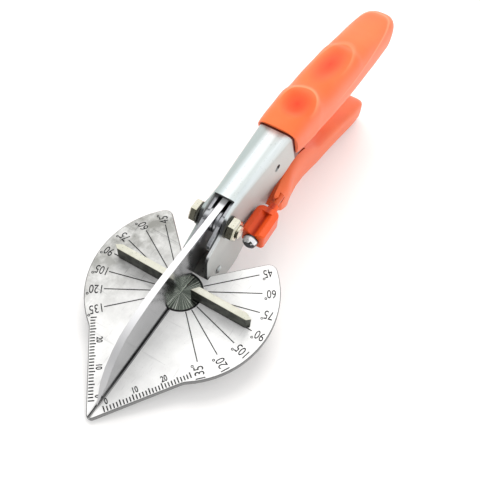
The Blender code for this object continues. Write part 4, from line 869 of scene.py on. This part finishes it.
def socket_ring(x, high, low):
    """The channel's outline with a little room, rounded at its top corners."""
    corner = SOCKET_CORNER
    points = [Vector((x, -SOCKET_HALF, low)), Vector((x, SOCKET_HALF, low))]
    for side, start in ((1, 0), (-1, 90)):
        for i in range(CORNER_STEPS + 1):
            angle = math.radians(start + i * 90 / CORNER_STEPS)
            points.append(Vector((x, side * (SOCKET_HALF - corner) + corner * math.cos(angle),
                                  high - corner + corner * math.sin(angle))))
    return points


def make_upper_grip():
    """The sleeve with its thumb scoops, cut out for the channel, in place of the faceted one."""
    outer = bmesh.new()
    shares = [i / GRIP_RINGS * TAPER_START for i in range(GRIP_RINGS)]
    shares += [TAPER_START + (1 - TAPER_START) * math.sin(math.pi / 2 * i / END_RINGS) for i in range(END_RINGS)]
    loft(outer, [grip_ring(share) for share in shares + [LAST_SHARE]])
    inner = bmesh.new()
    loft(inner, [socket_ring(*row) for row in SOCKET])
    grip = link_mesh("upper_grip_piece", outer, FINISHES["scooped"])
    cutter = link_mesh("grip_socket", inner, FINISHES["scooped"])
    cut = grip.modifiers.new("socket", "BOOLEAN")
    cut.operation = "DIFFERENCE"
    cut.solver = "EXACT"
    cut.object = cutter
    bpy.context.view_layer.update()
    mesh = bpy.data.meshes.new_from_object(grip.evaluated_get(bpy.context.evaluated_depsgraph_get()))
    grip.modifiers.clear()
    bm = bmesh.new()
    bm.from_mesh(mesh)
    bm.transform(PLATE)
    smooth_mesh(bm, ROUND_CREASE)
    bm.to_mesh(grip.data)
    bm.free()
    bpy.data.objects.remove(cutter)
    stand_for(grip, "upper_grip")


# Return spring

def make_spring():
    """The wound wire, closer wound at its ends."""
    curve = bpy.data.curves.new("wire", "CURVE")
    curve.dimensions = "3D"
    curve.bevel_depth = WIRE_RADIUS
    curve.bevel_resolution = 3
    curve.use_fill_caps = True
    count = SPRING_TURNS * TURN_POINTS
    spline = curve.splines.new("POLY")
    spline.points.add(count)
    low, high = SPRING_LOW + WIRE_RADIUS, SPRING_HIGH - WIRE_RADIUS
    for i, point in enumerate(spline.points):
        share = i / count
        rise = share - CLOSE_ENDS * math.sin(math.tau * share) / math.tau
        angle = math.tau * SPRING_TURNS * share
        place = PLATE @ Vector((SPRING_BACK + SPRING_RADIUS * math.cos(angle), SPRING_RADIUS * math.sin(angle),
                                low + (high - low) * rise))
        point.co = (*place, 1)
    wire = bpy.data.objects.new("wire", curve)
    bpy.context.scene.collection.objects.link(wire)
    bm = bmesh.new()
    bm.from_mesh(bpy.data.meshes.new_from_object(wire))
    bpy.data.objects.remove(wire)
    smooth_mesh(bm, ROUND_CREASE)
    made = link_mesh("return_spring_piece", bm, FINISHES["steel"])
    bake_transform(made)
    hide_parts("return_spring")


# Studio

def make_floor():
    """A pale floor that keeps the shadow; in gloss it falls off to the dark of the room ahead."""
    mesh = bpy.data.meshes.new("floor")
    reach = FLOOR_REACH
    mesh.from_pydata([(-reach, -reach, 0), (reach, -reach, 0), (reach, reach, 0), (-reach, reach, 0)], [],
                     [(0, 1, 2, 3)])
    made, tree, shader = new_material("floor")
    shader.inputs["Base Color"].default_value = (*FLOOR_TONE, 1)
    shader.inputs["Roughness"].default_value = 0.9
    shader.inputs["Specular IOR Level"].default_value = 0.1
    path = node(tree, "LightPath")
    seen = math_node(tree, "MAXIMUM", path.outputs["Is Camera Ray"], path.outputs["Is Transmission Ray"])
    seen = math_node(tree, "MAXIMUM", seen, path.outputs["Is Glossy Ray"])
    start, end, depth = FLOOR_FADE
    falling = between(tree, axis_of(tree, object_place(tree), "X"), start, end, 0.0, depth)
    colour = blend_colour(tree, times(tree, falling, path.outputs["Is Glossy Ray"]), WHITE, FLOOR_DARK)
    glow = node(tree, "Emission", {"Color": colour, "Strength": 1.0})
    mix = node(tree, "MixShader", {0: times(tree, seen, FLOOR_GLOW), 1: shader.outputs[0], 2: glow.outputs[0]})
    tree.links.new(mix.outputs[0], tree.nodes["Material Output"].inputs["Surface"])
    mesh.materials.append(made)
    floor = bpy.data.objects.new("floor", mesh)
    bpy.context.scene.collection.objects.link(floor)


def make_world():
    """White all round, and in gloss a darker room on the side that the photograph was taken from."""
    world = bpy.data.worlds.new("studio")
    bpy.context.scene.world = world
    world.use_nodes = True
    tree = world.node_tree
    back = tree.nodes["Background"]
    path = node(tree, "LightPath")
    aim = vector_node(tree, "NORMALIZE", node(tree, "TexCoord").outputs["Generated"])
    ahead = vector_node(tree, "DOT_PRODUCT", aim, ROOM_SIDE, output="Value")
    room = times(tree, between(tree, ahead, *ROOM_EDGE), path.outputs["Is Glossy Ray"])
    tree.links.new(blend_colour(tree, room, WHITE, ROOM_DARK), back.inputs["Color"])
    back.inputs["Strength"].default_value = 1.0


def make_key():
    """One large soft lamp from above and behind, on the object's left."""
    lamp = bpy.data.lights.new("key", "AREA")
    lamp.shape = "DISK"
    lamp.size = KEY_SIZE
    lamp.energy = KEY_POWER
    lamp.color = KEY_TONE
    made = bpy.data.objects.new("key", lamp)
    bpy.context.scene.collection.objects.link(made)
    made.location = KEY_PLACE
    made.rotation_euler = (-Vector(KEY_PLACE)).to_track_quat("-Z", "Y").to_euler()
    made.visible_glossy = False


def make_camera():
    camera = bpy.data.cameras.new("camera")
    camera.lens = CAMERA_LENS
    camera.sensor_width = CAMERA_SENSOR
    made = bpy.data.objects.new("camera", camera)
    bpy.context.scene.collection.objects.link(made)
    made.location = CAMERA_PLACE
    made.rotation_euler = [math.radians(angle) for angle in CAMERA_TURN]
    bpy.context.scene.camera = made


def make_studio():
    bpy.context.scene.view_settings.view_transform = "Standard"
    make_floor()
    make_world()
    make_key()
    make_camera()


finish_nodes()
for node_name, bevel in REFINED.items():
    refine(node_name, bevel)
make_bar("fence_bar_right", 1)
make_bar("fence_bar_left", -1)
make_upper_grip()
make_spring()
make_marks()
make_studio()
